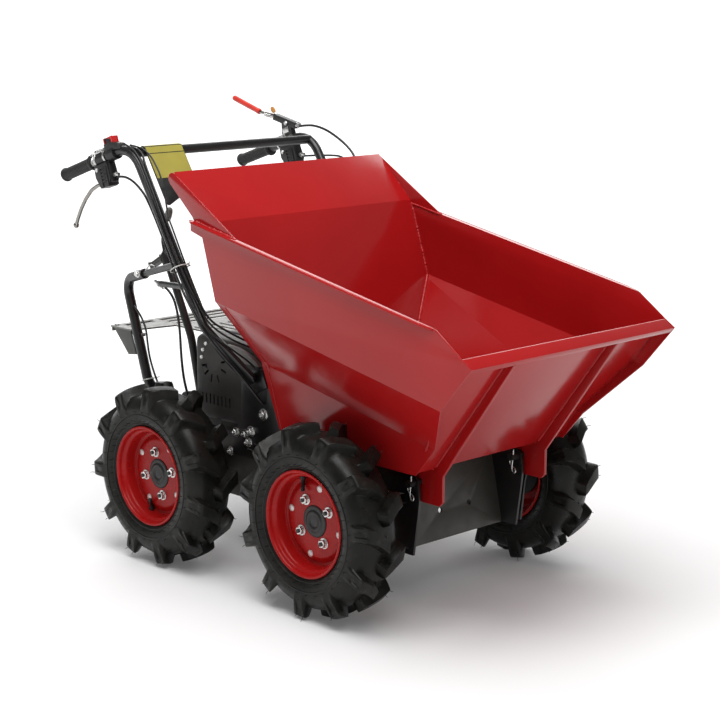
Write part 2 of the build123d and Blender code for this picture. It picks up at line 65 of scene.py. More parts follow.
# ------------------------------------------------------------------ materials
def mat(name, base, rough=0.5, metal=0.0, var=0.10, scale=9.0, rvar=0.08, bump=0.0, bscale=300.0, bdist=0.0004,
        coat=0.0, coat_rough=0.08, spec=0.5, tint=None, detail=4.0, spots=None, second=None):
    m = bpy.data.materials.new(name)
    m.use_nodes = True
    nt = m.node_tree
    p = nt.nodes["Principled BSDF"]
    tc = nt.nodes.new("ShaderNodeTexCoord")
    n1 = nt.nodes.new("ShaderNodeTexNoise")
    n1.inputs["Scale"].default_value = scale
    n1.inputs["Detail"].default_value = detail
    nt.links.new(tc.outputs["Object"], n1.inputs["Vector"])
    ramp = nt.nodes.new("ShaderNodeValToRGB")
    ramp.color_ramp.elements[0].position = 0.30
    ramp.color_ramp.elements[1].position = 0.70
    lo = [max(0.0, c * (1 - var)) for c in base]
    hi = [min(1.0, c * (1 + var)) for c in (tint or base)]
    ramp.color_ramp.elements[0].color = (*lo, 1)
    ramp.color_ramp.elements[1].color = (*hi, 1)
    nt.links.new(n1.outputs["Fac"], ramp.inputs["Fac"])
    colour = ramp.outputs["Color"]
    if spots:
        s_col, s_scale, s_from, s_to = spots
        n3 = nt.nodes.new("ShaderNodeTexNoise")
        n3.inputs["Scale"].default_value = s_scale
        n3.inputs["Detail"].default_value = 8.0
        nt.links.new(tc.outputs["Object"], n3.inputs["Vector"])
        r3 = nt.nodes.new("ShaderNodeMapRange")
        r3.inputs["From Min"].default_value = s_from
        r3.inputs["From Max"].default_value = s_to
        nt.links.new(n3.outputs["Fac"], r3.inputs["Value"])
        mx = nt.nodes.new("ShaderNodeMix")
        mx.data_type = "RGBA"
        nt.links.new(r3.outputs["Result"], mx.inputs["Factor"])
        nt.links.new(colour, mx.inputs["A"])
        mx.inputs["B"].default_value = (*s_col, 1)
        colour = mx.outputs["Result"]
    nt.links.new(colour, p.inputs["Base Color"])
    n2 = nt.nodes.new("ShaderNodeTexNoise")
    n2.inputs["Scale"].default_value = scale * 4.3
    n2.inputs["Detail"].default_value = 6.0
    nt.links.new(tc.outputs["Object"], n2.inputs["Vector"])
    mr = nt.nodes.new("ShaderNodeMapRange")
    mr.inputs["From Min"].default_value = 0.3
    mr.inputs["From Max"].default_value = 0.7
    mr.inputs["To Min"].default_value = max(0.02, rough - rvar)
    mr.inputs["To Max"].default_value = min(1.0, rough + rvar)
    nt.links.new(n2.outputs["Fac"], mr.inputs["Value"])
    nt.links.new(mr.outputs["Result"], p.inputs["Roughness"])
    p.inputs["Metallic"].default_value = metal
    p.inputs["Specular IOR Level"].default_value = spec
    p.inputs["Coat Weight"].default_value = coat
    p.inputs["Coat Roughness"].default_value = coat_rough
    if bump:
        nb = nt.nodes.new("ShaderNodeTexNoise")
        nb.inputs["Scale"].default_value = bscale
        nb.inputs["Detail"].default_value = 3.0
        nt.links.new(tc.outputs["Object"], nb.inputs["Vector"])
        bp = nt.nodes.new("ShaderNodeBump")
        bp.inputs["Strength"].default_value = bump
        bp.inputs["Distance"].default_value = bdist
        nt.links.new(nb.outputs["Fac"], bp.inputs["Height"])
        nt.links.new(bp.outputs["Normal"], p.inputs["Normal"])
    return m


M = {}
M["hopper"] = mat("hopper_paint", (0.352, 0.0078, 0.0086), rough=0.15, var=0.06, scale=3.0, rvar=0.035, bump=0.05, bscale=60, bdist=0.0005,
                  spec=0.41, tint=(0.368, 0.0088, 0.0096))
M["weld"] = mat("weld_paint", (0.40, 0.012, 0.014), rough=0.36, spec=0.40, var=0.18, scale=90.0, rvar=0.12, bump=0.5, bscale=420, bdist=0.0010,
                coat=0.15, coat_rough=0.20)
M["rim"] = mat("rim_paint", (0.360, 0.0072, 0.0070), rough=0.30, var=0.10, scale=8.0, rvar=0.07, bump=0.08, bscale=320, bdist=0.0004,
               coat=0.03, coat_rough=0.10, spec=0.19)
M["tyre"] = mat("tyre_rubber", (0.0056, 0.0056, 0.0048), rough=0.35, var=0.30, scale=14.0, rvar=0.10, bump=0.25, bscale=520, bdist=0.0005,
                tint=(0.0100, 0.0097, 0.0080), spec=0.20, spots=((0.036, 0.034, 0.028), 34.0, 0.62, 0.82))
M["frame"] = mat("frame_black", (0.0055, 0.0054, 0.0052), rough=0.36, var=0.18, scale=18.0, rvar=0.08, bump=0.12, bscale=420, bdist=0.0003, coat=0.15,
                 coat_rough=0.2)
M["chassis"] = mat("chassis_grey", (0.032, 0.0300, 0.0245), rough=0.42, var=0.16, scale=10.0, rvar=0.09, bump=0.12, bscale=380, bdist=0.0003,
                   tint=(0.040, 0.0375, 0.0310))
M["gear"] = mat("gearbox_iron", (0.016, 0.016, 0.016), rough=0.6, var=0.25, scale=24.0, rvar=0.1, bump=0.4, bscale=260, bdist=0.0008)
M["alloy"] = mat("engine_alloy", (0.10, 0.10, 0.105), rough=0.5, metal=0.6, var=0.2, scale=20.0, rvar=0.1, bump=0.4, bscale=300, bdist=0.0006)
M["cover"] = mat("cover_black", (0.052, 0.0490, 0.0460), rough=0.42, spec=0.22, var=0.12, scale=16.0, rvar=0.07, bump=0.3, bscale=700, bdist=0.0003)
M["tank"] = mat("tank_grey", (0.105, 0.102, 0.097), rough=0.40, var=0.12, scale=12.0, rvar=0.08, bump=0.12, bscale=400, bdist=0.0003)
M["shroud"] = mat("shroud_grey", (0.165, 0.150, 0.140), rough=0.45, var=0.10, scale=14.0, rvar=0.08, bump=0.12, bscale=400, bdist=0.0003)
M["muffler"] = mat("muffler_steel", (0.10, 0.098, 0.095), rough=0.55, metal=0.5, var=0.3, scale=16.0, rvar=0.12, bump=0.2, bscale=240, bdist=0.0005,
                   tint=(0.13, 0.11, 0.09))
M["rack"] = mat("rack_grey", (0.21, 0.21, 0.197), rough=0.36, metal=0.35, var=0.14, scale=15.0, rvar=0.1, bump=0.12, bscale=380, bdist=0.0003)
M["cheek"] = mat("cheek_grey", (0.10, 0.10, 0.095), rough=0.5, metal=0.2, var=0.14, scale=15.0, rvar=0.1, bump=0.12, bscale=380, bdist=0.0003)
M["zinc"] = mat("zinc_plate", (0.62, 0.62, 0.61), rough=0.28, metal=1.0, var=0.16, scale=60.0, rvar=0.10, bump=0.12, bscale=500, bdist=0.0002)
M["chrome"] = mat("bright_plate", (0.33, 0.315, 0.295), rough=0.20, metal=1.0, var=0.10, scale=40.0, rvar=0.06, bump=0.05, bscale=300, bdist=0.0002)
M["stud"] = mat("stud_dark", (0.06, 0.06, 0.06), rough=0.4, metal=0.8, var=0.25, scale=80.0, rvar=0.1)
M["rivet"] = mat("rivet_pale", (0.62, 0.56, 0.54), rough=0.35, metal=0.6, var=0.12, scale=90.0, rvar=0.1, bump=0.15, bscale=500, bdist=0.0002)
M["hub"] = mat("hub_black", (0.008, 0.008, 0.0078), rough=0.40, var=0.2, scale=30.0, rvar=0.08, bump=0.2, bscale=500, bdist=0.0003)
M["grip"] = mat("grip_rubber", (0.0080, 0.0078, 0.0075), rough=0.50, var=0.2, scale=40.0, rvar=0.08, bump=0.4, bscale=900, bdist=0.0003)
M["plastic"] = mat("control_plastic", (0.0080, 0.0080, 0.0082), rough=0.42, var=0.18, scale=40.0, rvar=0.08, bump=0.25, bscale=900, bdist=0.0002)
M["cable"] = mat("cable_sheath", (0.006, 0.006, 0.006), rough=0.36, var=0.2, scale=60.0, rvar=0.08, bump=0.1, bscale=600, bdist=0.0002)
M["red_plastic"] = mat("red_plastic", (0.46, 0.014, 0.014), rough=0.36, var=0.12, scale=40.0, rvar=0.07, bump=0.15, bscale=700, bdist=0.0002)
M["red_rubber"] = mat("red_sleeve", (0.62, 0.035, 0.020), rough=0.42, var=0.10, scale=30.0, rvar=0.06, bump=0.2, bscale=700, bdist=0.0002)
M["orange"] = mat("orange_tab", (0.60, 0.26, 0.05), rough=0.42, var=0.15, scale=60.0, rvar=0.06, bump=0.15, bscale=600, bdist=0.0002)
M["yellow"] = mat("yellow_plate", (0.34, 0.295, 0.048), rough=0.46, var=0.06, scale=18.0, rvar=0.06, bump=0.05, bscale=500, bdist=0.0001)
M["tie"] = mat("tie_nylon", (0.55, 0.55, 0.52), rough=0.45, var=0.08, scale=50.0, rvar=0.06, bump=0.1, bscale=500, bdist=0.0002)
M["grey_plastic"] = mat("grey_plastic", (0.13, 0.13, 0.125), rough=0.45, var=0.12, scale=40.0, rvar=0.07, bump=0.15, bscale=700, bdist=0.0002)
# near-black painted shade: stands for the shade inside openings and on the band across the label, not a colour the
# parts have
M["dark"] = mat("dark_inside", (0.004, 0.004, 0.004), rough=0.7, var=0.3, scale=30.0, rvar=0.1, bump=0.1, bscale=400, bdist=0.0002)


# ------------------------------------------------------------------ mesh helpers
def finish_mesh(bm, sharp=38.0):
    bmesh.ops.recalc_face_normals(bm, faces=bm.faces)
    lim = math.radians(sharp)
    for f in bm.faces:
        f.smooth = True
    for e in bm.edges:
        e.smooth = not (len(e.link_faces) == 2 and e.calc_face_angle(0.0) > lim)


def piece(name, bm, mats, body, replaces=(), sharp=38.0, recalc=True):
    if recalc:
        finish_mesh(bm, sharp)
    me = bpy.data.meshes.new(name)
    bm.to_mesh(me)
    bm.free()
    ob = bpy.data.objects.new(name, me)
    bpy.context.scene.collection.objects.link(ob)
    for m in (mats if isinstance(mats, (list, tuple)) else [mats]):
        me.materials.append(M[m])
    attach(ob, body)
    if replaces:
        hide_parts(*replaces)
    return ob


def loop_verts(bm, pts):
    return [bm.verts.new(p) for p in pts]


def bridge(bm, a, b, mi=0, closed=True):
    n = len(a)
    for i in range(n if closed else n - 1):
        j = (i + 1) % n
        f = bm.faces.new((a[i], a[j], b[j], b[i]))
        f.material_index = mi


def cap(bm, loop, mi=0):
    f = bm.faces.new(loop)
    f.material_index = mi


def basis(d):
    d = Vector(d).normalized()
    up = Vector((0, 0, 1)) if abs(d.z) < 0.9 else Vector((1, 0, 0))
    u = up.cross(d).normalized()
    return u, d.cross(u).normalized(), d


def sweep(bm, pts, radius, seg=10, mi=0, caps=True, twist=None):
    """Round section along points; radius is a number or one per point."""
    pts = [Vector(p) for p in pts]
    n = len(pts)
    rad = radius if isinstance(radius, (list, tuple)) else [radius] * n
    t = []
    for i in range(n):
        a = pts[max(i - 1, 0)]
        b = pts[min(i + 1, n - 1)]
        t.append((b - a).normalized())
    u, v, _ = basis(t[0])
    rings = []
    for i in range(n):
        u = (u - t[i] * u.dot(t[i])).normalized()
        v = t[i].cross(u).normalized()
        rings.append(loop_verts(bm, [pts[i] + (u * math.cos(2 * math.pi * k / seg) + v * math.sin(2 * math.pi * k / seg)) * rad[i] for k in range(seg)]))
    for a, b in zip(rings, rings[1:]):
        bridge(bm, a, b, mi)
    if caps:
        cap(bm, rings[0][::-1], mi)
        cap(bm, rings[-1], mi)


def lathe(bm, origin, axis, profile, seg=24, mi=0, closed=False, start=0.0):
    """profile: (radius, distance along axis); zero radius ends close to a point."""
    u, v, d = basis(axis)
    o = Vector(origin)
    rings = []
    for r, h in profile:
        if r <= 1e-7:
            rings.append([bm.verts.new(o + d * h)])
        else:
            rings.append(loop_verts(bm, [o + d * h + (u * math.cos(start + 2 * math.pi * k / seg) + v * math.sin(start + 2 * math.pi * k / seg)) * r for k in range(seg)]))
    pairs = list(zip(rings, rings[1:]))
    if closed:
        pairs.append((rings[-1], rings[0]))
    for a, b in pairs:
        if len(a) == 1 and len(b) == 1:
            continue
        if len(a) == 1:
            for k in range(seg):
                bm.faces.new((a[0], b[k], b[(k + 1) % seg])).material_index = mi
        elif len(b) == 1:
            for k in range(seg):
                bm.faces.new((a[k], a[(k + 1) % seg], b[0])).material_index = mi
        else:
            bridge(bm, a, b, mi)
    if not closed:
        if len(rings[0]) > 1:
            cap(bm, rings[0][::-1], mi)
        if len(rings[-1]) > 1:
            cap(bm, rings[-1], mi)


def hexa(bm, origin, axis, af, h, mi=0, turn=0.0):
    """Hexagon nut or head with chamfered corners."""
    r = af / math.sqrt(3)
    c = 0.09 * af
    lathe(bm, origin, axis, [(r * 0.92, 0), (r, c * 0.5), (r, h - c), (r * 0.86, h)], seg=6, mi=mi, start=turn)


def bolt(bm, origin, axis, af=0.013, washer=0.011, h=0.0065, stud=0.004, mi=0, mi_stud=None, turn=0.3):
    a = Vector(axis).normalized()
    o = Vector(origin)
    lathe(bm, o, a, [(washer * 0.45, 0), (washer, 0), (washer, 0.0012), (washer * 0.93, 0.0018), (washer * 0.45, 0.0018)], seg=20, mi=mi)
    hexa(bm, o + a * 0.0016, a, af, h, mi, turn)
    if stud:
        s = af * 0.27
        lathe(bm, o + a * (h + 0.001), a, [(s, 0), (s, stud), (s * 0.75, stud + 0.0012)], seg=12, mi=mi if mi_stud is None else mi_stud)


def rounded_box(bm, centre, axes, size, r, mi=0, seg=2):
    """Box with bevelled edges; axes are three unit vectors, size full lengths."""
    g = bmesh.ops.create_cube(bm, size=1.0)
    vs = g["verts"]
    a = [Vector(x).normalized() for x in axes]
    for vtx in vs:
        c = vtx.co.copy()
        vtx.co = Vector(centre) + a[0] * c.x * size[0] + a[1] * c.y * size[1] + a[2] * c.z * size[2]
    faces = list({f for vtx in vs for f in vtx.link_faces})
    edges = list({e for vtx in vs for e in vtx.link_edges})
    for f in faces:
        f.material_index = mi
    res = bmesh.ops.bevel(bm, geom=edges, offset=r, segments=seg, profile=0.5, affect="EDGES", clamp_overlap=True)
    for f in res["faces"]:
        f.material_index = mi


def prism(bm, pts, vec, mi=0, bevel=0.0, seg=2):
    """Polygon pushed along a vector, edges bevelled."""
    a = [bm.verts.new(p) for p in pts]
    b = [bm.verts.new(Vector(p) + Vector(vec)) for p in pts]
    fs = [bm.faces.new(a[::-1]), bm.faces.new(b)]
    n = len(a)
    for i in range(n):
        fs.append(bm.faces.new((a[i], a[(i + 1) % n], b[(i + 1) % n], b[i])))
    for f in fs:
        f.material_index = mi
    bmesh.ops.recalc_face_normals(bm, faces=fs)
    if bevel:
        edges = list({e for f in fs for e in f.edges})
        res = bmesh.ops.bevel(bm, geom=edges, offset=bevel, segments=seg, profile=0.5, affect="EDGES", clamp_overlap=True)
        for f in res["faces"]:
            f.material_index = mi


def softened(node, material, body, width=0.0012, seg=2, angle=28.0, name=None, extra=None):
    """Copy of a CAD piece with its arrises rounded, standing for the node."""
    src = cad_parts[node]
    bm = bmesh.new()
    bm.from_mesh(src.data)
    bmesh.ops.remove_doubles(bm, verts=bm.verts, dist=2e-6)
    bmesh.ops.dissolve_limit(bm, angle_limit=math.radians(0.6), verts=bm.verts, edges=bm.edges)
    bmesh.ops.recalc_face_normals(bm, faces=bm.faces)
    edges = [e for e in bm.edges if len(e.link_faces) == 2 and e.calc_face_angle(0.0) > math.radians(angle)]
    bmesh.ops.bevel(bm, geom=edges, offset=width, segments=seg, profile=0.6, affect="EDGES", clamp_overlap=True)
    for f in bm.faces:
        f.material_index = 0
    if extra:
        extra(bm)
    return piece(name or node + "_skin", bm, material, body, replaces=(node,), sharp=40)


def nurbs(points, closed=False):
    """Points read off a smooth spline through the given control points."""
    cu = bpy.data.curves.new("tmp", "CURVE")
    cu.dimensions = "3D"
    sp = cu.splines.new("NURBS")
    sp.points.add(len(points) - 1)
    for q, p in zip(sp.points, points):
        q.co = (*p, 1)
    sp.order_u = 3
    sp.use_endpoint_u = not closed
    sp.use_cyclic_u = closed
    sp.resolution_u = 6
    ob = bpy.data.objects.new("tmp", cu)
    me = bpy.data.meshes.new_from_object(ob)
    out = [v.co.copy() for v in me.vertices]
    bpy.data.objects.remove(ob)
    bpy.data.curves.remove(cu)
    bpy.data.meshes.remove(me)
    return out


# ------------------------------------------------------------------ wheels
LUGS = 11
PITCH = 2 * math.pi / LUGS
SKEW = 0.17
WHEEL_Y, AXLE_Z = 0.308, 0.208
# half section from the middle of the tread to the bead: casing (w, r) and lug envelope (w, r)
SECTION = [
    ((0.000, .1875), (0.000, .2080)), ((0.005, .1875), (0.005, .2080)), ((0.010, .1873), (0.010, .2079)), ((0.016, .1868), (0.016, .2076)),
    ((0.024, .1857), (0.024, .2070)), ((0.032, .1836), (0.032, .2060)), ((0.039, .1804), (0.040, .2046)), ((0.0445, .1767), (0.047, .2028)),
    ((0.0478, .1735), (0.0506, .2013)), ((0.0492, .1717), (0.0525, .1996)), ((0.0504, .1700), (0.0537, .1972)), ((0.0514, .1684), (0.0547, .1942)),
    ((0.0530, .1655), (0.0564, .1876)), ((0.0544, .1626), (0.0577, .1800)), ((0.0555, .1598), (0.0586, .1722)), ((0.0563, .1572), (0.0586, .1656)),
    ((0.0569, .1546), (0.0581, .1596)), ((0.0573, .1520), (0.0577, .1540)), ((0.0575, .1490), None), ((0.0575, .1455), None),
    ((0.0574, .1440), None), ((0.0583, .1434), None), ((0.0586, .1424), None), ((0.0583, .1410), None), ((0.0567, .1404), None),
    ((0.0560, .1360), None), ((0.0548, .1315), None), ((0.0532, .1265), None), ((0.0524, .1240), None), ((0.0530, .1232), None),
    ((0.0530, .1215), None), ((0.0514, .1200), None), ((0.0498, .1180), None), ((0.0486, .1166), None), ((0.0480, .1152), None), ((0.0477, .1122), None),
]
CREST, BASE = 0.068, 0.101
OFFS = [-.1428, -.126, -.110, -.101, -.095, -.088, -.081, -.074, -.068, -.058, -.046, -.036, -.028, -.014]
COLS = OFFS + [0.0] + [-o for o in OFFS[:0:-1]]


def soft_step(t):
    t = min(1.0, max(0.0, t))
    return 0.7 * t + 0.3 * t * t * (3 - 2 * t)


def lug_height(d, w, row):
    """Share of the lug envelope at an angle d from the lug's middle; w runs outward from the tread's middle line."""
    e = min(1.0, max(0.0, (w + 0.0075) / 0.014))
    k = math.sqrt(max(0.0, 1 - (1 - e) ** 2))
    if k <= 0.02:
        return 0.0
    flare = 1.0 + 0.10 * min(1.0, max(0.0, (w - 0.03) / 0.02))
    b, c = BASE * k * flare, CREST * k * flare
    h = soft_step((b - abs(d)) / (b - c))
    h *= min(1.0, e * 2.2)
    if 10 <= row <= 15 and abs(d) < 0.036:
        h *= 0.62 if 11 <= row <= 14 else 0.84
    return h


def build_tyre(name, x, s, turn, node, body):
    bm = bmesh.new()
    cx = x + XS
    order = [(-1, k) for k in range(len(SECTION) - 1, 0, -1)] + [(1, k) for k in range(len(SECTION))]
    psi = []
    for k in range(2 * LUGS):
        for o in COLS:
            psi.append((k * PITCH / 2 + o, k))
    grid = []
    for side, k in order:
        cas, lug = SECTION[k]
        line = []
        for a, half in psi:
            w, r = cas
            h = 0.0
            if lug:
                near = half * PITCH / 2
                # outer lugs sit on even half pitches, inner lugs on odd ones
                mine = (half % 2 == 0) == (side > 0) or k == 0
                wl = cas[0] if ((half % 2 == 0) == (side > 0) or k == 0) else -cas[0]
                h = lug_height(a - near, wl, k)
                if not mine and cas[0] > 0.0075:
                    h = 0.0
                w = cas[0] + (lug[0] - cas[0]) * h
                r = cas[1] + (lug[1] - cas[1]) * h
            sk = SKEW * max(0.0, 1 - cas[0] / 0.054) ** 1.4
            ang = turn + a - sk
            line.append(bm.verts.new((cx + r * math.cos(ang), s * (WHEEL_Y + side * w), AXLE_Z + r * math.sin(ang))))
        grid.append(line)
    for a, b in zip(grid, grid[1:] + grid[:1]):
        bridge(bm, a, b)
    # moulding hairs
    rnd = random.Random(int(abs(x) * 1000) + (7 if s > 0 else 3))

    def hair(ang, r, w, length, dr, dw, thick=0.00075):
        p = []
        for q in (0.0, 0.5, 1.0):
            rr = r + dr * length * q + 0.0015 * math.sin(q * 2) * rnd.uniform(-1, 1)
            ww = w + dw * length * q
            aa = ang + rnd.uniform(-.004, .004) * q * 4
            p.append(Vector((cx + rr * math.cos(aa), s * (WHEEL_Y + ww), AXLE_Z + rr * math.sin(aa))))
        sweep(bm, p, [thick, thick * 0.8, thick * 0.45], seg=4)

    for side in (1, -1):
        for i in range(44):
            ang = 2 * math.pi * i / 44 + rnd.uniform(-.02, .02)
            hair(ang, 0.1270, side * 0.0530, rnd.uniform(.009, .0155), rnd.uniform(-.25, .35), side * 0.93)
        for i in range(33):
            ang = 2 * math.pi * (i + .4) / 33 + rnd.uniform(-.02, .02)
            hair(ang, 0.1480, side * 0.0572, rnd.uniform(.007, .012), rnd.uniform(-.2, .8), side * 0.75)
        for i in range(LUGS):
            base = turn + (i + (0 if side > 0 else 0.5)) * PITCH
            for d in (-0.05, 0.05):
                if rnd.random() < 0.8:
                    hair(base + d, 0.1985, side * 0.0520, rnd.uniform(.006, .011), rnd.uniform(.3, 1.0), side * 0.8)
            if rnd.random() < 0.7:
                hair(base - SKEW * .55, 0.2055, side * 0.020, rnd.uniform(.003, .006), 0.9, side * 0.2)
    return piece(name, bm, "tyre", body, (node,), sharp=44)


RIM_PROFILE = [
    (.0345, .0150), (.0600, .0150), (.0755, .0150), (.0785, .0146), (.0810, .0132), (.0865, .0085), (.0895, .0072), (.0925, .0075), (.0950, .0092),
    (.0968, .0120), (.0976, .0160), (.0981, .0280), (.0987, .0336), (.1002, .0368), (.1030, .0386), (.1054, .0399), (.1066, .0422), (.1072, .0460),
    (.1080, .0488), (.1094, .0508), (.1115, .0518), (.1135, .0516), (.1148, .0505), (.1152, .0490), (.1146, .0481), (.1120, .0479), (.1109, .0470),
    (.1105, .0440), (.1105, -.0440), (.1109, -.0470), (.1120, -.0479), (.1146, -.0481), (.1152, -.0490), (.1148, -.0505), (.1135, -.0516),
    (.1115, -.0518), (.1094, -.0508), (.1080, -.0488), (.1072, -.0460), (.1066, -.0422), (.1054, -.0399), (.1030, -.0386), (.1002, -.0368),
    (.0987, -.0336), (.0981, -.0280), (.0979, .0000), (.0970, .0030), (.0950, .0040), (.0895, .0030), (.0865, .0045), (.0790, .0105), (.0755, .0110),
    (.0345, .0110),
]


def build_wheel(place, hand, x, nuts, rivets, valve, tread):
    s = 1 if hand == "left" else -1
    body = f"wheel_{place}_{hand}"
    cx = x + XS
    c = Vector((cx, s * WHEEL_Y, AXLE_Z))
    axis = Vector((0, s, 0))
    build_tyre(f"tread_{place}_{hand}", x, s, tread, f"tyre_{place}_{hand}", body)

    def at(r, deg, w):
        t = math.radians(deg)
        return Vector((cx + r * math.cos(t), s * (WHEEL_Y + w), AXLE_Z + r * math.sin(t)))

    bm = bmesh.new()
    lathe(bm, c, axis, RIM_PROFILE, seg=96, closed=True)
    # weld run where the disc meets the barrel
    ring = []
    for k in range(160):
        t = 2 * math.pi * k / 160
        ring.append(Vector((cx + .0962 * math.cos(t), s * (WHEEL_Y + .0100), AXLE_Z + .0962 * math.sin(t))))
    sweep(bm, ring + ring[:1], [0.0016 * (1 + 0.18 * math.sin(k * 2.4)) for k in range(161)], seg=6, caps=False)
    piece(f"rim_skin_{place}_{hand}", bm, "rim", body, (f"rim_{place}_{hand}",), sharp=50)

    bm = bmesh.new()
    for k in range(4):
        o = at(.050, nuts + 90 * k, .0150)
        bolt(bm, o, axis, af=0.0165, washer=0.0122, h=0.0085, stud=0.0030, mi=0, mi_stud=1, turn=0.4 + k)
    for k in range(4):
        o = at(.074, rivets + 90 * k, .0148)
        lathe(bm, o, axis, [(0.0078, 0), (0.0078, 0.0010), (0.0070, 0.0018), (0.0045, 0.0023), (0, 0.0024)], seg=20, mi=2)
    # cap ring and valve
    lathe(bm, c, axis, [(0, .0180), (.0085, .0180), (.0105, .0176), (.0130, .0186), (.0160, .0202), (.0195, .0205), (.0222, .0197), (.0242, .0180), (.0265, .0177),
                        (.0295, .0179), (.0318, .0176), (.0338, .0166), (.0342, .0148)], seg=48, mi=3)
    v0, v1 = at(.0962, valve, .0135), at(.0680, valve, .0255)
    d = v1 - v0
    lathe(bm, v0, d, [(.0075, 0), (.0072, .003), (.0050, .006), (.0042, .014), (.0034, .020), (.0036, .0205), (.0044, .021), (.0044, .029), (.0036, .0315), (0, .0318)], seg=14, mi=3)
    piece(f"wheel_fittings_{place}_{hand}", bm, ["zinc", "stud", "rivet", "hub"], body, sharp=34)


for place, x, nuts, rivets, valve in (("front", 0.0, 33.5, 78.5, 113.0), ("rear", -0.526, 13.5, 58.5, 250.0)):
    for hand in ("left", "right"):
        build_wheel(place, hand, x, nuts, rivets, valve, 0.10 if place == "front" else 0.38)
for n in [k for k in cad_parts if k.startswith("hub_")]:
    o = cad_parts[n]
    o.data.materials.clear()
    o.data.materials.append(M["hub"])


# ------------------------------------------------------------------ hopper
SLOPE = -0.194


def rail_end(bm):
    """Rounds off the rear corner of the rail's turned edge."""
    for v in bm.verts:
        if abs(v.co.y) > 0.3185 and v.co.x < XS - 0.3995:
            v.co.y = math.copysign(0.3190 + (abs(v.co.y) - 0.3185) * 0.1, v.co.y)


for n in ("hopper_floor", "hopper_side_left", "hopper_side_right", "hopper_back", "hopper_front", "hopper_rib_left", "hopper_rib_right"):
    softened(n, "hopper", "hopper", width=0.0014 if "rib" not in n else 0.0016, seg=2, extra=rail_end if "side" in n else None)


def rail_z(x):
    return 721.6 + SLOPE * x


def back_x(z):
    return -355 + (797 - z) * 155 / 469


def panel_x(z):
    return 402.7 - (608.8 - z) / 1.32


# flat turned edge along the top of both sides
bm = bmesh.new()
for sg in (1, -1):
    rings = []
    for x, w in ((-398, 321.0), (-396.5, 325.0), (-393, 328.0), (-386, 329.0), (-260, 329.0), (-130, 329.0), (0, 329.0), (130, 328.6), (240, 328.0), (290, 326.5), (315, 323.0), (328, 319.5)):
        z = rail_z(x)
        rings.append(loop_verts(bm, [F(x, sg * y, q) for y, q in ((313.4, z + 0.3), (314.0, z + 1.1), (w - 1.5, z + 1.2), (w - 0.4, z + 0.7), (w, z - 0.4), (w, z - 2.4),
                                                                 (w - 0.6, z - 3.1), (w - 1.5, z - 3.3), (316.8, z - 3.3), (315.0, z - 1.0))]))
    cap(bm, rings[0][::-1])
    for a, b in zip(rings, rings[1:]):
        bridge(bm, a, b)
    cap(bm, rings[-1])
piece("rail_strips", bm, "hopper", "hopper", sharp=35)


def skin_y(x, z, inner=False):
    """Half width of the hopper's side sheet at a point of its elevation."""
    zz = z - SLOPE * x
    k = 0.85 if inner else 0.0
    t = 3.0 if inner else 0.0
    if zz >= 567.3 + k:
        return 316 - t
    if zz <= 440 + k:
        return 232 - t
    return 232 - t + (zz - 440 - k) * 84 / 127.3


def bead(bm, pts, r, seed, rough=0.35, step=0.0022, seg=7):
    """Weld run: a rippled, uneven round along a line."""
    pts = [Vector(p) for p in pts]
    line = []
    for a, b in zip(pts, pts[1:]):
        n = max(1, int((b - a).length / step))
        line += [a.lerp(b, i / n) for i in range(n)]
    line.append(pts[-1])
    rr = []
    out = []
    for i, p in enumerate(line):
        f = noise.noise(Vector((i * 0.37 + seed * 11.3, seed, 0.5)))
        g = noise.noise(Vector((i * 0.09, seed * 3.1, 4.5)))
        rr.append(r * (1 + rough * f + 0.5 * rough * math.sin(i * 1.9)))
        out.append(p + Vector((0.4 * f, 0.4 * g, 0.5 * g)) * r * 0.5)
    rr[0] *= 0.5
    rr[-1] *= 0.5
    sweep(bm, out, rr, seg=seg)


bm = bmesh.new()
for s in (-1, 1):
    # back wall to side, on the inside, from the fold down to the floor
    pts = []
    for z in (792, 740, 700, 660, 625, 590, 560, 530, 500, 470, 440, 400, 360, 333):
        xx = back_x(z) + 3.2
        pts.append(F(xx + 0.8, s * (skin_y(xx, z, True) - 0.8), z))
    bead(bm, pts, 0.0030, 3 + s)
    # headboard to its side return
    a, b = F(-461, s * 312.2, 896), F(-354, s * 312.2, 797.5)
    bead(bm, [a.lerp(b, 0.02), a.lerp(b, 0.98)], 0.0024, 9 + s, rough=0.28)
    # side return down on the rail, outside and inside
    bead(bm, [F(-390, s * 316.6, rail_z(-390) + 0.8), F(-253, s * 316.6, rail_z(-253) + 0.8)], 0.0034, 15 + s, rough=0.5)
    bead(bm, [F(-352, s * 312.4, rail_z(-352) + 0.5), F(-256, s * 312.4, rail_z(-256) + 0.5)], 0.0022, 19 + s, rough=0.4)
    # floor to side and front panel to side, inside
    bead(bm, [F(-192, s * 228.4, 331.6), F(184, s * 228.4, 331.6)], 0.0022, 23 + s, rough=0.3)
    pts = []
    for z in (334, 380, 420, 460, 500, 540, 575, 604):
        xx = panel_x(z) - 4.2
        pts.append(F(xx, s * (skin_y(xx, z, True) - 0.6), z))
    bead(bm, pts, 0.0022, 29 + s, rough=0.3)
    # seam line that the back wall leaves on the outside of the side sheet
    pts = []
    for z in (622, 590, 555, 520, 485, 450, 410, 370, 333):
        xx = back_x(z) + 2.0
        pts.append(F(xx, s * (skin_y(xx, z) + 0.1), z))
    bead(bm, pts, 0.0010, 33 + s, rough=0.2, step=0.003)
    # ribs on the front panel
    for q in (-1, 1):
        pts = [F(panel_x(z) + 0.6, s * 160 + q * 4.6, z) for z in (580, 500, 420, 332)]
        bead(bm, pts, 0.0022, 41 + s + q, rough=0.25, step=0.003)
    # foot to floor
    for q in (-1, 1):
        bead(bm, [F(126, s * 160 + q * 4.6, 327.6), F(188, s * 160 + q * 4.6, 327.6)], 0.0022, 51 + s + q, rough=0.3)
bead(bm, [F(-191.5, -226, 331.8), F(-191.5, 226, 331.8)], 0.0022, 61, rough=0.3)
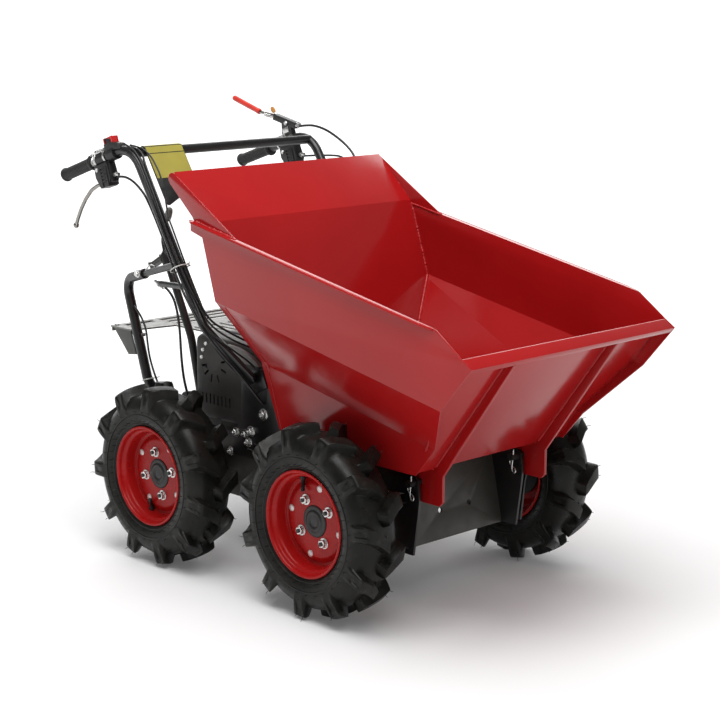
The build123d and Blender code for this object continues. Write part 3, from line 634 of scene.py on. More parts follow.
bead(bm, [F(187, -226, 332), F(187, 226, 332)], 0.0022, 63, rough=0.3)
piece("hopper_welds", bm, "weld", "hopper", sharp=60)

# side returns with rounded free corners
bm = bmesh.new()
for s in (-1, 1):
    out = [(-392, rail_z(-392) + 0.6), (-398, rail_z(-392) + 9), (-474, 873), (-479.5, 881.5), (-480, 888), (-476, 894), (-470, 897.5), (-463, 898), (-251.5, rail_z(-251.5) + 0.4)]
    prism(bm, [F(x, s * 313, z) for x, z in out], F(0, s * 316, 0) - F(0, s * 313, 0), bevel=0.0009)
piece("hopper_ears_skin", bm, "hopper", "hopper", ("hopper_ears",), sharp=40)


# ------------------------------------------------------------------ chassis plates and frame
for n, m, w in (("chassis_sides", "chassis", .0010), ("belly_plate", "chassis", .0010), ("front_plate", "chassis", .0010), ("hinge_brackets", "frame", .0012),
                ("cross_members", "frame", .0012), ("upright_plates", "frame", .0010), ("rear_rack", "rack", .0008), ("rack_cheeks", "cheek", .0008),
                ("control_plate", "frame", .0007), ("engine_block", "alloy", .0030), ("gearbox", "gear", .0040)):
    softened(n, m, "chassis", width=w, seg=2)
for n, m in (("axles", "gear"), ("hinge_pins", "stud"), ("handlebar", "frame"), ("rear_guard", "frame"), ("gear_lever", "frame"), ("fuel_tank", "tank"), ("muffler", "muffler"),
             ("air_cleaner", "cover"), ("brake_lever", "chrome"), ("drive_lever", "chrome")):
    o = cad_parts[n]
    o.data.materials.clear()
    o.data.materials.append(M[m])
for n, w in (("ratchet_brackets", .0022), ("drive_lever_body", .0020), ("stop_switch", .0020)):
    softened(n, "plastic", "chassis", width=w, seg=3)


# ------------------------------------------------------------------ fan cover
bm = bmesh.new()
outline = [(-574, 352), (-571, 336), (-562, 322), (-550, 315), (-536, 312), (-352, 312), (-332, 317), (-320, 328), (-315, 345), (-315, 400), (-319, 425), (-328, 455),
           (-342, 477), (-361, 491), (-385, 500), (-411, 506), (-545, 511), (-562, 508), (-571, 502), (-574, 492)]
cxm, czm = -444.0, 410.0
rings = []
for y, k in ((-119, 1.0), (-150, 1.0), (-160, 0.997), (-167, 0.985), (-172, 0.965), (-175.5, 0.93), (-177.3, 0.88), (-178.2, 0.78), (-178.9, 0.55), (-179.2, 0.28)):
    rings.append(loop_verts(bm, [F(cxm + (x - cxm) * k, y, czm + (z - czm) * k) for x, z in outline]))
cap(bm, rings[0][::-1])
for a, b in zip(rings, rings[1:]):
    bridge(bm, a, b)
cap(bm, rings[-1])
# grey shroud plate on the front upper corner of the cover
pm = bmesh.new()
plate = [(-446, 500), (-411, 498), (-386, 492), (-364, 484), (-347, 473), (-338, 464), (-446, 464)]
rings = []
for y, k in ((-168, 1.0), (-181.2, 1.0), (-182.2, 0.992), (-182.6, 0.975)):
    rings.append(loop_verts(pm, [F(-396 + (x + 396) * k, y, 481 + (z - 481) * k) for x, z in plate]))
cap(pm, rings[0][::-1])
for a, b in zip(rings, rings[1:]):
    bridge(pm, a, b)
cap(pm, rings[-1])
piece("shroud_plate", pm, "shroud", "chassis", sharp=35)
cover = piece("fan_cover_skin", bm, ["cover", "dark"], "chassis", ("fan_cover",), sharp=40)

cut = bmesh.new()
AXZ = ((1, 0, 0), (0, 1, 0), (0, 0, 1))
slots_x0, slots_z0 = -500.0, 446.0
for deg in (16, -18, -66, -105, -140, -168):
    t = math.radians(deg)
    d = Vector((math.cos(t), 0, math.sin(t)))
    e = Vector((-math.sin(t), 0, math.cos(t)))
    rounded_box(cut, F(slots_x0, -178, slots_z0) + d * 0.036, (d, (0, 1, 0), e), (0.019, 0.018, 0.0052), 0.0020)
for k in range(8):
    rounded_box(cut, F(-543 + 14 * k, -177, 362), ((1, 0, 0), (0, 1, 0), (0, 0, 1)), (0.0048, 0.022, 0.024), 0.0018)
cm = bpy.data.meshes.new("cut")
cut.to_mesh(cm)
cut.free()
co = bpy.data.objects.new("cut", cm)
bpy.context.scene.collection.objects.link(co)
bo = cover.modifiers.new("slots", "BOOLEAN")
bo.operation = "DIFFERENCE"
bo.object = co
bo.solver = "MANIFOLD"
dg = bpy.context.evaluated_depsgraph_get()
me = bpy.data.meshes.new_from_object(cover.evaluated_get(dg))
cover.modifiers.clear()
old = cover.data
cover.data = me
bpy.data.meshes.remove(old)
bpy.data.objects.remove(co)
bpy.data.meshes.remove(cm)
bb = bmesh.new()
bb.from_mesh(cover.data)
finish_mesh(bb, 40)
bb.to_mesh(cover.data)
bb.free()

# ------------------------------------------------------------------ engine details
bm = bmesh.new()
for k in range(9):
    x = -466 + 14 * k
    prism(bm, [F(x, y, z) for y, z in ((96, 322), (150, 342), (182, 372), (136, 458), (104, 452))], F(5, 0, 0) - F(0, 0, 0), bevel=0.0010)
piece("cylinder_fins", bm, "alloy", "chassis", sharp=35)

bm = bmesh.new()
# muffler guard with louvres and the outlet stub
for k in range(6):
    z = 336 + 15 * k
    rounded_box(bm, F(-535, 201.5, z), ((1, 0, 0), (0, 1, 0), (0, 0, 1)), (0.082, 0.006, 0.0075), 0.0022)
lathe(bm, F(-588, 150, 352), (-1, 0, -0.2), [(.0105, -0.004), (.0105, .018), (.0085, .018), (.0085, .002)], seg=20)
piece("muffler_guard", bm, "muffler", "chassis", sharp=35)

bm = bmesh.new()
# tank cap ribs, filler seam, air cleaner knob and its seam
for k in range(18):
    t = 2 * math.pi * k / 18
    rounded_box(bm, F(-375 + 26 * math.cos(t), -60 + 26 * math.sin(t), 528), ((math.cos(t), math.sin(t), 0), (-math.sin(t), math.cos(t), 0), (0, 0, 1)), (0.0035, 0.004, 0.011), 0.0009)
lathe(bm, F(-489, -45, 509), (0, 0, 1), [(.016, 0), (.016, .006), (.012, .012), (.006, .014), (0, .0142)], seg=18)
piece("caps", bm, "plastic", "chassis", sharp=35)


# ------------------------------------------------------------------ handlebar fittings
GD = Vector((0.9497, 0, 0.3132)).normalized()
GN = Vector((-0.3132, 0, 0.9497)).normalized()
GY = Vector((0, 1, 0))


def along(t, s, up=0.0, dy=0.0):
    return F(-917, s * 273.5 + dy, 859.5) + GD * (t / 1000) + GN * (up / 1000)


bm = bmesh.new()
for s in (-1, 1):
    prof = [(0, -.0120), (.0110, -.0120), (.0145, -.0116), (.0163, -.0102), (.0167, -.0080), (.0164, -.0056), (.0152, -.0042), (.0142, -.0034)]
    t = -.0010
    while t < .0985:
        prof += [(.0141, t), (.0143, t + .0006), (.0143, t + .0030), (.0141, t + .0036), (.0136, t + .0040), (.0136, t + .0048)]
        t += .0054
    prof += [(.0142, .1008), (.0150, .1026), (.0174, .1044), (.0186, .1066), (.0187, .1090), (.0178, .1112), (.0140, .1120), (.0112, .1120)]
    lathe(bm, along(0, s), GD, prof, seg=36)
piece("grips_moulded", bm, "grip", "chassis", ("handle_grips",), sharp=50)

# ladder slots, bosses and clamp screws of the lever brackets
bm = bmesh.new()
for s, t0, um in ((-1, 122, -41), (1, 156, -40)):
    for q in (-1, 1):
        y = q * 13.2
        for k in range(5):
            rounded_box(bm, along(t0 + 33, s, um - 10 + 8.0 * k - 4, y), (GD, GY, GN), (0.017, 0.0040, 0.0036), 0.0010, mi=0)
        rounded_box(bm, along(t0 + 22, s, um - 4, y), (GD, GY, GN), (0.0036, 0.0042, 0.044), 0.0010, mi=0)
        rounded_box(bm, along(t0 + 44, s, um - 4, y), (GD, GY, GN), (0.0036, 0.0042, 0.044), 0.0010, mi=0)
    # front spine with the cable entry
    rounded_box(bm, along(t0 + 50, s, um + 4, 0), (GD, GY, GN), (0.012, 0.020, 0.050), 0.0030, mi=0)
    # pivot screw, pale
    lathe(bm, along(t0 + 10, s, -24, -13), (0, -1, 0), [(.0050, -0.001), (.0050, .0022), (.0042, .0032), (0, .0034)], seg=18, mi=1)
    lathe(bm, along(t0 + 10, s, -24, 13), (0, 1, 0), [(.0050, -0.001), (.0050, .0022), (.0042, .0032), (0, .0034)], seg=18, mi=1)
    # clamp screw heads and zinc collars on the tube
    if s < 0:
        lathe(bm, along(113.5, s), GD, [(.0112, 0), (.0132, .0004), (.0132, .0060), (.0122, .0066), (.0122, .0120), (.0112, .0124)], seg=32, mi=1)
        lathe(bm, along(126.5, s), GD, [(.0144, 0), (.0151, .0004), (.0151, .0052), (.0144, .0056)], seg=32, mi=1)
        rounded_box(bm, along(141, s, 15.5, -4), (GD, GY, GN), (0.024, 0.010, 0.0052), 0.0014, mi=1)
    for dt, uu in ((-6, 12), (20, 15)):
        lathe(bm, along(t0 + dt, s, uu, -6), GN, [(.0048, 0), (.0048, .0045), (.0038, .0058), (0, .0060)], seg=14, mi=1)
    lathe(bm, along(t0 - 8, s), GD, [(.0112, 0), (.0140, .0004), (.0140, .0050), (.0112, .0054)], seg=28, mi=1)
    lathe(bm, along(t0 + 41, s), GD, [(.0112, 0), (.0150, .0004), (.0150, .0064), (.0112, .0068)], seg=28, mi=1)
    # cable adjuster
    a = along(t0 + 54, s, -47 if s < 0 else -44)
    lathe(bm, a, GD * 0.93 + GN * -0.1, [(.0052, -0.004), (.0052, .004), (.0066, .0045), (.0066, .0085), (.0046, .009), (.0046, .016), (.0036, .0185)], seg=14, mi=1)
piece("bracket_details", bm, ["plastic", "zinc"], "chassis", sharp=35)

# throttle thumb lever beside the right grip, switch rocker, lever sleeve and lock tab
bm = bmesh.new()
rounded_box(bm, along(133, -1, 19, 2), (GD, GY, GN), (0.021, 0.014, 0.0085), 0.0035, mi=0, seg=3)
rounded_box(bm, along(146, -1, 15, 0), (GD, GY, GN), (0.024, 0.012, 0.006), 0.0020, mi=1)
lathe(bm, along(150, -1, 16, 0), GN, [(.0062, 0), (.0062, .003), (.0045, .0048), (0, .005)], seg=16, mi=1)
lathe(bm, along(163, -1, 16, -3), GN, [(.0045, 0), (.0045, .004), (.0030, .0055), (0, .0057)], seg=14, mi=1)
piece("thumb_lever", bm, ["plastic", "zinc"], "chassis", sharp=35)

bm = bmesh.new()
d = (along(206, -1, 31) - along(176, -1, 31)).normalized()
e = d.cross(GY).normalized() * -1
rounded_box(bm, along(191.5, -1, 31), (d, GY, e), (0.029, 0.0160, 0.0096), 0.0030, mi=0, seg=3)
rounded_box(bm, along(191.5, -1, 31) + e * 0.0048 + d * 0.006, (d, GY, e), (0.012, 0.0130, 0.0040), 0.0016, mi=0, seg=2)
piece("switch_rocker", bm, "red_plastic", "chassis", sharp=35)

bm = bmesh.new()
a, b = along(99, 1, 98), along(13, 1, 159)
dd = (b - a)
L = dd.length
lathe(bm, a, dd, [(.0044, -.001), (.0068, -.0006), (.0074, .002), (.0074, .006), (.0068, .008), (.0070, L - .006), (.0068, L - .002), (.0052, L + .0008), (0, L + .0012)], seg=22)
piece("lever_sleeve", bm, "red_rubber", "chassis", sharp=40)

bm = bmesh.new()
c0 = along(151, 1, 86)
tn = (GN * 0.85 - GD * 0.5).normalized()
pts = []
for k in range(20):
    t = 2 * math.pi * k / 20
    pts.append(c0 + tn * (0.0030 + 0.0100 * math.sin(t)) + (tn.cross(GY)).normalized() * 0.0066 * math.cos(t) - GY * 0.0016)
prism(bm, pts, GY * 0.0036, mi=0, bevel=0.0010)
sweep(bm, [along(158, 1, 70), along(155, 1, 77), c0 - tn * 0.004], 0.0018, seg=8, mi=1)
piece("lock_tab", bm, ["orange", "zinc"], "chassis", sharp=40)

bm = bmesh.new()
# zinc pieces on the left lever: perch bolt, cable ferrule, spring
lathe(bm, along(196, 1, 42, -8), (0, -1, 0), [(.0056, -.001), (.0056, .003), (.0044, .0045), (0, .0047)], seg=18, mi=0)
lathe(bm, along(196, 1, 42, 8), (0, 1, 0), [(.0056, -.001), (.0056, .003), (.0044, .0045), (0, .0047)], seg=18, mi=0)
lathe(bm, along(219, 1, 30), (along(234, 1, 27) - along(219, 1, 30)), [(.0060, 0), (.0060, .006), (.0072, .0065), (.0072, .0115), (.0050, .012), (.0050, .0165)], seg=16, mi=0)
rounded_box(bm, along(188, 1, 26, -8.2), (GD, GY, GN), (0.022, 0.0024, 0.014), 0.0009, mi=0)
rounded_box(bm, along(165, 1, 15, -9), (GD, GY, GN), (0.020, 0.004, 0.006), 0.0012, mi=0)
hel = []
for k in range(80):
    t = k * 0.55
    hel.append(along(116 + k * 0.30, 1, 87.0 - k * 0.14) + GN * 0.0055 * math.cos(t) + GY * 0.0055 * math.sin(t))
sweep(bm, hel, 0.0007, seg=5, mi=0)
piece("lever_zinc", bm, "zinc", "chassis", sharp=35)

# blank label bent over the cross tube and down the plate
bm = bmesh.new()
CR = Vector((-667.0, 0, 925.0))
LD = Vector((0.542, 0, -0.840)).normalized()
LN = Vector((0.840, 0, 0.542)).normalized()
prof = []
for deg in (118, 104, 90, 76, 62, 48, 34, 20, 8):
    t = math.radians(deg)
    # angle measured from the plate's normal towards the top of the tube
    prof.append((LN * math.cos(t) - LD * math.sin(t)) * 14.2)
for dist in (-4, 2):
    prof.append(LN * 14.2 + LD * dist)
for dist in (11.0, 13.4, 30, 48, 66, 74, 76):
    prof.append(LN * 14.05 + LD * dist)
ys = [-241.5, -240.5, -238, -200, -170, -140, -138, -137]
front, back = [], []
for i, q in enumerate(prof):
    lf, lb = [], []
    nrm = q.normalized() if i < 9 else LN
    for j, y in enumerate(ys):
        inset = 0.0
        if i == len(prof) - 1 and j in (0, len(ys) - 1):
            inset = 1.0
        p = CR + q
        lf.append(bm.verts.new(F(p.x + nrm.x * 0.4, y + (inset if j == 0 else -inset), p.z + nrm.z * 0.4)))
        lb.append(bm.verts.new(F(p.x - nrm.x * 0.1, y + (inset if j == 0 else -inset), p.z - nrm.z * 0.1)))
    front.append(lf)
    back.append(lb)
for i in range(len(prof) - 1):
    for j in range(len(ys) - 1):
        # the faces from row 11 to row 12 take the near-black painted shade, a dark band across the label
        dark = i == 11
        bm.faces.new((front[i][j], front[i][j + 1], front[i + 1][j + 1], front[i + 1][j])).material_index = 1 if dark else 0
        bm.faces.new((back[i][j], back[i + 1][j], back[i + 1][j + 1], back[i][j + 1]))
    for j in (0, len(ys) - 1):
        bm.faces.new((front[i][j], front[i + 1][j], back[i + 1][j], back[i][j]))
for i in (0, len(prof) - 1):
    for j in range(len(ys) - 1):
        bm.faces.new((front[i][j], back[i][j], back[i][j + 1], front[i][j + 1]))
piece("blank_label", bm, ["yellow", "dark"], "chassis", sharp=40)


# ------------------------------------------------------------------ control cables
def leg(t, n, dy, s):
    return (-465.1 - 0.542 * t + 0.84 * n, s * (273.5 + dy), 631.9 + 0.84 * t + 0.542 * n)


def arm(f, off, s):
    x = -416.0 + f * (-338.7 + 416.0) + 0.252 * off
    y = 273.5 + f * (199.0 - 273.5) + 0.886 * off
    return (x, s * y, 556.0 + f * (437.0 - 556.0) - 0.388 * off)


CABLES = [
    (2.8, [(-732, -273.5, 866), (-711, -273.5, 868.5), (-689, -273.5, 868.5), (-664, -273, 861), (-638, -273, 846), (-614, -273, 826),
           leg(170, -17.5, 0, -1), leg(115, -16.5, 3, -1), leg(60, -14, 8, -1), leg(10, -8, 13, -1), leg(-40, 1, 16, -1), (-403, -290.5, 557),
           arm(0.42, 17, -1), arm(0.85, 18, -1), (-321, -206, 405), (-313, -191.3, 384)]),
    (2.4, [(-687, -277, 944), (-659, -277.5, 936.5), (-634, -278, 919), leg(300, 15.5, 5, -1), leg(235, 15.5, 6, -1), leg(165, 14, 9, -1), leg(95, 12.5, 11, -1),
           leg(30, 14, 10, -1), leg(-30, 16, 6, -1), (-398, -277, 567), (-378, -245, 537), (-360, -205, 513), (-348, -165, 499), (-340, -132, 491), (-337, -114.2, 488)]),
    (3.0, [(-704, 273.5, 955), (-679, 273.5, 959), (-646, 273, 960), (-606, 272.5, 952.5), (-570, 272, 938.5), (-538, 271, 923), (-508, 270, 903), (-487, 269, 872),
           (-479, 269, 835), (-486, 270, 788), leg(110, 17.5, 0, 1), leg(60, 15.5, 1, 1), leg(0, 15.5, 2, 1), leg(-50, 16.5, 4, 1), (-396, 276, 563),
           arm(0.42, 18, 1), arm(0.85, 18, 1), (-321, 206, 405), (-313, 191.3, 384)]),
    (2.5, [(-698, 273.5, 881), (-672, 280, 884), (-640, 289, 886), (-606, 290, 888.5), (-570, 288.5, 889), (-538, 285, 878), (-518, 282, 846), (-512, 281, 800),
           leg(120, 22, 9, 1), leg(70, 14, 11, 1), leg(15, 10, 13, 1), leg(-35, 6, 15, 1), (-412, 291, 562), arm(0.3, 25, 1), arm(0.75, 26, 1), (-345, 211, 415), (-338, 191.3, 396)]),
    (3.0, [(-613, -233, 622), (-597, -231, 613), (-582, -228, 596), (-573, -225, 566), (-571, -220, 522), (-574, -215, 450), (-570, -210, 392), (-554, -205, 347),
           (-530, -196, 315), (-508, -177, 297), (-497, -153.6, 290)]),
    (2.5, [(-765, -204.5, 551), (-744, -211, 546), (-713, -218, 526), (-695, -222, 502), (-691, -222.5, 471), (-687, -220.5, 440), (-679, -217, 410), (-667, -211, 374),
           (-654, -199, 335), (-641, -175, 296), (-634, -153.4, 268)]),
]
# further cables of the bundle, tied to the right leg: throttle pull, switch earth and tip lock
BUNDLE = [
    (2.6, [(-694, -268, 938), (-662, -267, 938), (-634, -267, 925), leg(318, 15.2, -3, -1), leg(250, 15.4, -1, -1), leg(180, 15.6, 0.5, -1), leg(110, 15.4, 1, -1),
           leg(45, 15.8, 2, -1), leg(-20, 16.2, 1, -1), (-404, -271, 574), (-384, -238, 548), (-368, -200, 524), (-357, -164, 508), (-350, -134, 498), (-347, -114.2, 494)]),
    (2.2, [(-690, -281, 932), (-660, -284, 926), (-634, -286, 908), leg(300, 10, 12.5, -1), leg(230, 9, 13.6, -1), leg(160, 7, 15, -1), leg(95, 6, 16, -1),
           leg(30, 6.5, 15.5, -1), leg(-35, 9, 14.5, -1), (-404, -289.5, 566), (-383, -262, 531), (-364, -226, 500), (-352, -196, 474), (-347, -187, 462)]),
    (2.0, [(-690, -260, 941), (-662, -254, 938), (-640, -249, 927), (-624.4, -247, 913.3), (-610, -248.5, 899), (-595.6, -250, 883.6), (-584, -252, 863), (-573.3, -254, 841),
           (-562, -258, 810.4), (-550.6, -262, 786.3), leg(150, 15.5, -8, -1), leg(110, 15.6, -6, -1), leg(60, 15.8, -4, -1), leg(5, 16, -3, -1), leg(-45, 16.4, -3, -1)]),
]
cu = bpy.data.curves.new("cable_runs", "CURVE")
cu.dimensions = "3D"
cu.bevel_depth = 0.003
cu.bevel_resolution = 3
cu.use_fill_caps = True
for r, pts in CABLES:
    sp = cu.splines.new("NURBS")
    sp.points.add(len(pts) - 1)
    for q, p in zip(sp.points, pts):
        q.co = (*F(*p), 1)
        q.radius = r / 3.0
    sp.order_u = 3
    sp.use_endpoint_u = True
    sp.resolution_u = 8
cables = bpy.data.objects.new("cable_runs", cu)
bpy.context.scene.collection.objects.link(cables)
cu.materials.append(M["cable"])
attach(cables, "chassis")
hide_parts("control_cables")
cu = bpy.data.curves.new("cable_bundle", "CURVE")
cu.dimensions = "3D"
cu.bevel_depth = 0.003
cu.bevel_resolution = 3
cu.use_fill_caps = True
for r, pts in BUNDLE:
    sp = cu.splines.new("NURBS")
    sp.points.add(len(pts) - 1)
    for q, p in zip(sp.points, pts):
        q.co = (*F(*p), 1)
        q.radius = r / 3.0
    sp.order_u = 3
    sp.use_endpoint_u = True
    sp.resolution_u = 8
bundle = bpy.data.objects.new("cable_bundle", cu)
bpy.context.scene.collection.objects.link(bundle)
cu.materials.append(M["cable"])
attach(bundle, "chassis")


# ------------------------------------------------------------------ clips, ties and fasteners
def rclip(bm, o, r=0.0014):
    """Hairpin clip hung through a pin: a straight leg, a ring at the foot and a waved leg."""
    o = Vector(o)
    mmv = lambda x, y, z: o + Vector((x, y, z)) / 1000
    pts = [mmv(3, 0, 17), mmv(2.5, 0, 8), mmv(1.5, 0, -4), mmv(0, 0, -16), mmv(-1.0, 0, -25), mmv(1.0, 0.5, -32), mmv(6.0, 1.0, -36), mmv(9.0, 1.6, -31), mmv(7.0, 2.0, -25),
           mmv(2.0, 2.2, -22), mmv(-5.5, 2.2, -20), mmv(-9.0, 2.0, -14), mmv(-8.0, 1.8, -5), mmv(-9.5, 1.6, 2)]
    sweep(bm, nurbs(pts), r, seg=8)


bm = bmesh.new()
rclip(bm, F(148, -192.5, 293))
rclip(bm, F(148, 124.0, 293))
piece("hinge_clips", bm, "zinc", "chassis", sharp=35)

bm = bmesh.new()
for s in (-1, 1):
    a = Vector((0, s, 0))
    for x, z, af, ws in ((-316, 360, .017, .0135), (-411, 303, .013, .011), (-379, 305, .012, .010), (-360, 313.5, .015, .0125), (-368, 287, .013, .011), (-250, 276, .013, .011)):
        bolt(bm, F(x, s * 188, z), a, af=af, washer=ws, h=0.0075, stud=0.005, turn=x)
    # axle clamps and plate bolts on the chassis sides
    for x, z in ((-48, 240), (48, 240), (-48, 176), (48, 176), (-574, 240), (-478, 240), (-574, 176), (-478, 176), (-160, 288), (-140, 288), (-640, 200), (-640, 240)):
        bolt(bm, F(x, s * 150, z), a, af=.013, washer=.011, h=0.006, stud=0.004, turn=z)
    # clamp of the guard on the handle tube
    bolt(bm, F(-700, s * 240, 640), (0, s, 0), af=.012, washer=.009, h=0.005, stud=0.0)
# small screws of the fan cover
for x, z in ((-529, 490), (-540, 474), (-544.5, 456.5)):
    lathe(bm, F(x, -177.6, z), (0, -1, 0), [(.0052, -0.003), (.0052, .0014), (.0040, .0030), (0, .0034)], seg=14)
piece("fasteners", bm, "zinc", "chassis", sharp=34)


def tie(bm, c, axis, a, b, w, th, tail, mi=0):
    """Flat strap round a bundle with its lock and cut tail."""
    u, v, d = basis(axis)
    n = 28
    rings = []
    for k in range(n):
        t = 2 * math.pi * k / n
        dirv = u * math.cos(t) * a + v * math.sin(t) * b
        o = dirv.normalized() * th
        rings.append(loop_verts(bm, [Vector(c) + dirv + d * w / 2, Vector(c) + dirv + o + d * w / 2, Vector(c) + dirv + o - d * w / 2, Vector(c) + dirv - d * w / 2]))
    for i in range(n):
        bridge(bm, rings[i], rings[(i + 1) % n], mi)
    e = (u * math.cos(tail) * a + v * math.sin(tail) * b)
    rounded_box(bm, Vector(c) + e + e.normalized() * 0.002, (e.normalized(), d, e.normalized().cross(d)), (0.0050, 0.0062, 0.0062), 0.0010, mi=mi)
    p0 = Vector(c) + e + e.normalized() * 0.002
    tdir = e.normalized().cross(d)
    prism(bm, [p0 + d * w / 2 + tdir * .002, p0 - d * w / 2 + tdir * .002, p0 - d * w * .35 + tdir * .022 + e.normalized() * .004, p0 + d * w * .35 + tdir * .022 + e.normalized() * .004],
          e.normalized() * th, mi=mi)


bm = bmesh.new()
LEGD = Vector((-0.542, 0, 0.84))
tie(bm, F(*leg(56, 1, 5, -1)), LEGD, 0.0215, 0.0200, 0.0026, 0.0008, 2.4)
gdir = Vector((-76, 0, 232)).normalized()
tie(bm, F(-723.5, -199.6, 379), gdir, 0.0132, 0.0132, 0.0028, 0.0008, 3.6)
piece("cable_ties", bm, "tie", "chassis", sharp=35)

# fittings where the guard meets the handle: zinc clamp halves, adjusters, lever cap and trigger
bm = bmesh.new()
g0, g1 = Vector((-800, -200, 612)), Vector((-690, -226, 640))
for s in (-1, 1):
    p = lambda f: F(*(g0.x + (g1.x - g0.x) * f, -s * (g0.y + (g1.y - g0.y) * f) * -1 if s < 0 else -(g0.y + (g1.y - g0.y) * f), g0.z + (g1.z - g0.z) * f))
    q0, q1 = p(0.18), p(1.02)
    dd = (q1 - q0)
    lathe(bm, q0, dd, [(.0118, 0), (.0146, .0006), (.0150, .0080), (.0146, .0160), (.0130, .0166), (.0130, .0225), (.0156, .0232), (.0158, .0340), (.0156, .0450), (.0132, .0456),
                       (.0132, .0530), (.0148, .0536), (.0148, .0680), (.0118, .0686)], seg=30, mi=0)
    lathe(bm, q1, dd, [(.0122, -.003), (.0124, 0), (.0110, .004), (.0080, .0055)], seg=30, mi=0)
    for f in (0.10, 0.40, 0.70):
        bolt(bm, q0 + dd * f + Vector((0, 0, .0146)), (0, 0, 1), af=.011, washer=.008, h=.0050, stud=.004, mi=0, turn=f)
    if s < 0:
        # cable stops under the stub
        a, b = F(-633, -236, 628), F(-606, -231.5, 617)
        ad = b - a
        lathe(bm, a, ad, [(.0036, -.006), (.0036, .004), (.0066, .0045), (.0066, .010), (.0046, .0105), (.0046, .018), (.0064, .0185), (.0064, .0235), (.0042, .024), (.0036, .0300)], seg=14, mi=0)
        sweep(bm, nurbs([F(-606, -244, 622), F(-616, -240, 618), F(-628, -237, 622), F(-640, -236, 631)]), 0.0022, seg=8, mi=0)
        sweep(bm, nurbs([F(-676, -234, 650), F(-664, -236, 662), F(-648, -238, 668), F(-630, -242, 664)]), 0.0016, seg=8, mi=0)
piece("guard_fittings", bm, "zinc", "chassis", sharp=35)

bm = bmesh.new()
# ball cap on the gear lever, its trigger, and a grey knob on a rod beside the handle
lathe(bm, F(-741, -120, 652), (-0.3, 0, 0.95), [(.0098, -.012), (.0122, -.006), (.0132, .004), (.0130, .014), (.0112, .021), (.0070, .0262), (.0052, .0300)], seg=26, mi=0)
a, b = F(-752, -124, 660), F(-786, -130, 638)
dd = (b - a).normalized()
nn = dd.cross(Vector((0, 1, 0))).normalized()
rounded_box(bm, (a + b) / 2, (dd, (0, 1, 0), nn), ((b - a).length, 0.010, 0.011), 0.0045, mi=1, seg=3)
lathe(bm, F(-735, -120, 760), (0.35, 0, 0.93), [(.0054, -.010), (.0078, -.006), (.0088, .003), (.0088, .012), (.0072, .020), (.0040, .0235), (0, .0245)], seg=22, mi=1)
lathe(bm, F(-588, -142, 349), (-0.15, -1, 0.1), [(.0060, -.030), (.0060, .018), (.0125, .020), (.0145, .026), (.0145, .046), (.0125, .051), (0, .052)], seg=24, mi=0)
lathe(bm, F(-600, -120, 259), (-0.2, 0, 0.97), [(.0215, -.002), (.0215, .004), (.0180, .008), (.0190, .012), (.0150, .017), (.0160, .021), (.0118, .027), (.0098, .034)], seg=28, mi=0)
piece("lever_knobs", bm, ["grip", "grey_plastic"], "chassis", sharp=40)

# rubber buffers and bolted end of the handle arms
bm = bmesh.new()
for s in (-1, 1):
    lathe(bm, F(-150, s * 100, 308), (0, 0, 1), [(.0205, 0), (.0205, .003), (.0185, .006), (.0190, .014), (.0182, .0176), (.0140, .0184), (0, .0186)], seg=28, mi=0)
    a, b = F(*arm(0.72, 0, s)), F(*arm(1.0, 0, s))
    lathe(bm, b, b - a, [(.0110, -.002), (.0112, .000), (.0100, .003), (.0060, .0042), (0, .0044)], seg=24, mi=1)
    A, B = F(*arm(0.22, 11, s)), F(*arm(1.03, 11, s))
    ax = (B - A).normalized()
    wd = ax.cross(Vector((0.252, s * 0.886, -0.388))).normalized()
    L = (B - A).length
    flat = [A + wd * .0105, A + ax * L * .30 + wd * .0165, A + ax * L * .92 + wd * .0165, B + wd * .0100, B - wd * .0100, A + ax * L * .92 - wd * .0165, A + ax * L * .30 - wd * .0165, A - wd * .0105]
    prism(bm, flat, Vector((0.252, s * 0.886, -0.388)).normalized() * -0.0060, mi=1, bevel=0.0014)
    gus = [F(-372, s * 188, 440), F(-318, s * 188, 462), F(-300, s * 188, 424), F(-345, s * 188, 402)]
    prism(bm, gus, Vector((0, s * 0.004, 0)), mi=1, bevel=0.0012)
piece("arm_ends", bm, ["grip", "frame"], "chassis", sharp=40)

# pressed louvres on the light cover plate behind the hopper, and its fixing screws
bm = bmesh.new()
for k in range(6):
    y = -70 + 26 * k
    rounded_box(bm, F(-640, y, 492.2), ((1, 0, 0), (0, 1, 0), (0, 0, 1)), (0.120, 0.0110, 0.0044), 0.0018, mi=0)
for x, y in ((-852, -192), (-852, 170), (-575, -76), (-575, 170), (-700, 170)):
    lathe(bm, F(x, y, 492), (0, 0, 1), [(.0060, -0.001), (.0060, .0016), (.0048, .0034), (0, .0038)], seg=16, mi=1)
for s, y in ((-1, -204), (1, 182)):
    # turned edges that stiffen the plate and carry it on the guard tubes
    rounded_box(bm, F(-768, s * 194, 483), ((1, 0, 0), (0, 1, 0), (0, 0, 1)), (0.050, 0.012, 0.008), 0.0016, mi=0)
rounded_box(bm, F(-859.5, -11, 483.5), ((1, 0, 0), (0, 1, 0), (0, 0, 1)), (0.0042, 0.380, 0.0110), 0.0012, mi=0)
rounded_box(bm, F(-564.5, 47, 483.5), ((1, 0, 0), (0, 1, 0), (0, 0, 1)), (0.0042, 0.262, 0.0110), 0.0012, mi=0)
piece("rack_details", bm, ["rack", "zinc"], "chassis", sharp=35)


# ------------------------------------------------------------------ floor, light
def stage_sheet(name, pts, material):
    bm = bmesh.new()
    bm.faces.new([bm.verts.new(p) for p in pts])
    me = bpy.data.meshes.new(name)
    bm.to_mesh(me)
    bm.free()
    ob = bpy.data.objects.new(name, me)
    bpy.context.scene.collection.objects.link(ob)
    me.materials.append(material)
    return ob


M["floor"] = mat("floor_pale", (0.86, 0.86, 0.86), rough=0.8, var=0.01, scale=2.0, rvar=0.05)
p = M["floor"].node_tree.nodes["Principled BSDF"]
p.inputs["Emission Color"].default_value = (1, 1, 1, 1)
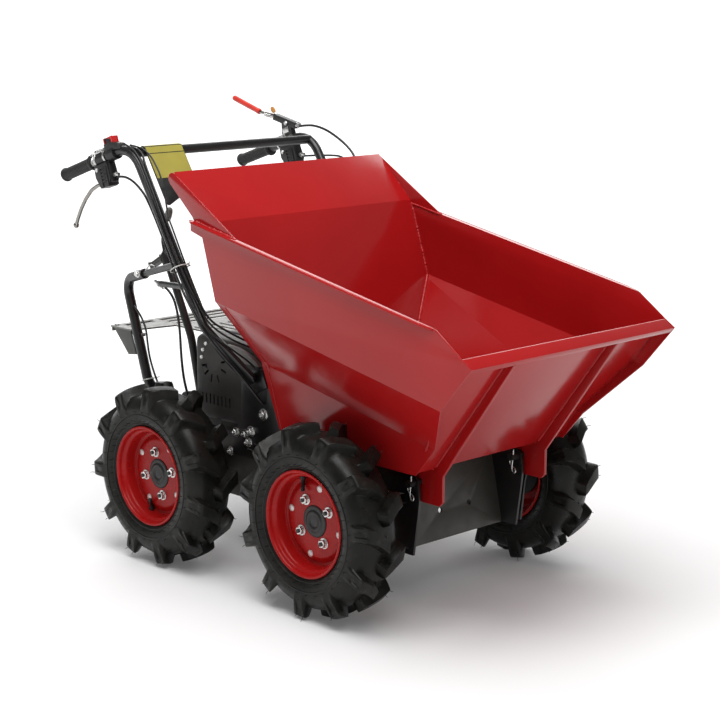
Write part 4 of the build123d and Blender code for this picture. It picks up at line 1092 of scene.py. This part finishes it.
# the floor shines a little more away from the machine, where less of the overhead light reaches it
nt = M["floor"].node_tree
tc = nt.nodes.new("ShaderNodeTexCoord")
ln = nt.nodes.new("ShaderNodeVectorMath")
ln.operation = "LENGTH"
nt.links.new(tc.outputs["Object"], ln.inputs[0])
mr = nt.nodes.new("ShaderNodeMapRange")
mr.interpolation_type = "SMOOTHSTEP"
mr.inputs["From Min"].default_value = 0.9
mr.inputs["From Max"].default_value = 4.6
mr.inputs["To Min"].default_value = 0.08
mr.inputs["To Max"].default_value = 0.86
nt.links.new(ln.outputs["Value"], mr.inputs["Value"])
nt.links.new(mr.outputs["Result"], p.inputs["Emission Strength"])
M["wall"] = mat("wall_pale", (0.5, 0.5, 0.5), rough=0.9, var=0.01, scale=2.0, rvar=0.05)
p = M["wall"].node_tree.nodes["Principled BSDF"]
p.inputs["Emission Color"].default_value = (1, 1, 1, 1)
p.inputs["Emission Strength"].default_value = 0.90
stage_sheet("floor", ((-60, -60, 0), (60, -60, 0), (60, 60, 0), (-60, 60, 0)), M["floor"])
# pale wall behind, square to the camera's line
wd_ = Vector((-0.7218, 0.6921, 0))
sd_ = Vector((0.6921, 0.7218, 0))
w0 = wd_ * 11
stage_sheet("backdrop", [tuple(w0 - sd_ * 14), tuple(w0 + sd_ * 14), tuple(w0 + sd_ * 14 + Vector((0, 0, 3))), tuple(w0 - sd_ * 14 + Vector((0, 0, 3)))], M["wall"])

world = bpy.data.worlds.new("studio")
bpy.context.scene.world = world
world.use_nodes = True
bg = world.node_tree.nodes["Background"]
bg.inputs[0].default_value = (1, 1, 1, 1)
bg.inputs[1].default_value = 0.22


def area(name, loc, target, size, power, col=(1, 1, 1)):
    li = bpy.data.lights.new(name, "AREA")
    li.shape = "RECTANGLE"
    li.size, li.size_y = size
    li.energy = power
    li.color = col
    ob = bpy.data.objects.new(name, li)
    bpy.context.scene.collection.objects.link(ob)
    ob.location = loc
    ob.rotation_euler = (Vector(target) - Vector(loc)).to_track_quat("-Z", "Y").to_euler()
    return ob


area("overhead", (0.4, -0.6, 3.4), (0.1, 0, 0.4), (2.4, 2.4), 104)
area("front_top", (2.3, -1.5, 3.3), (0.1, 0.1, 0.6), (1.8, 1.8), 30)
area("back_top", (-2.8, 2.75, 2.6), (0.1, 0, 0.6), (5.6, 1.9), 95)

bpy.context.scene.view_settings.view_transform = "Standard"
bpy.context.scene.view_settings.look = "None"
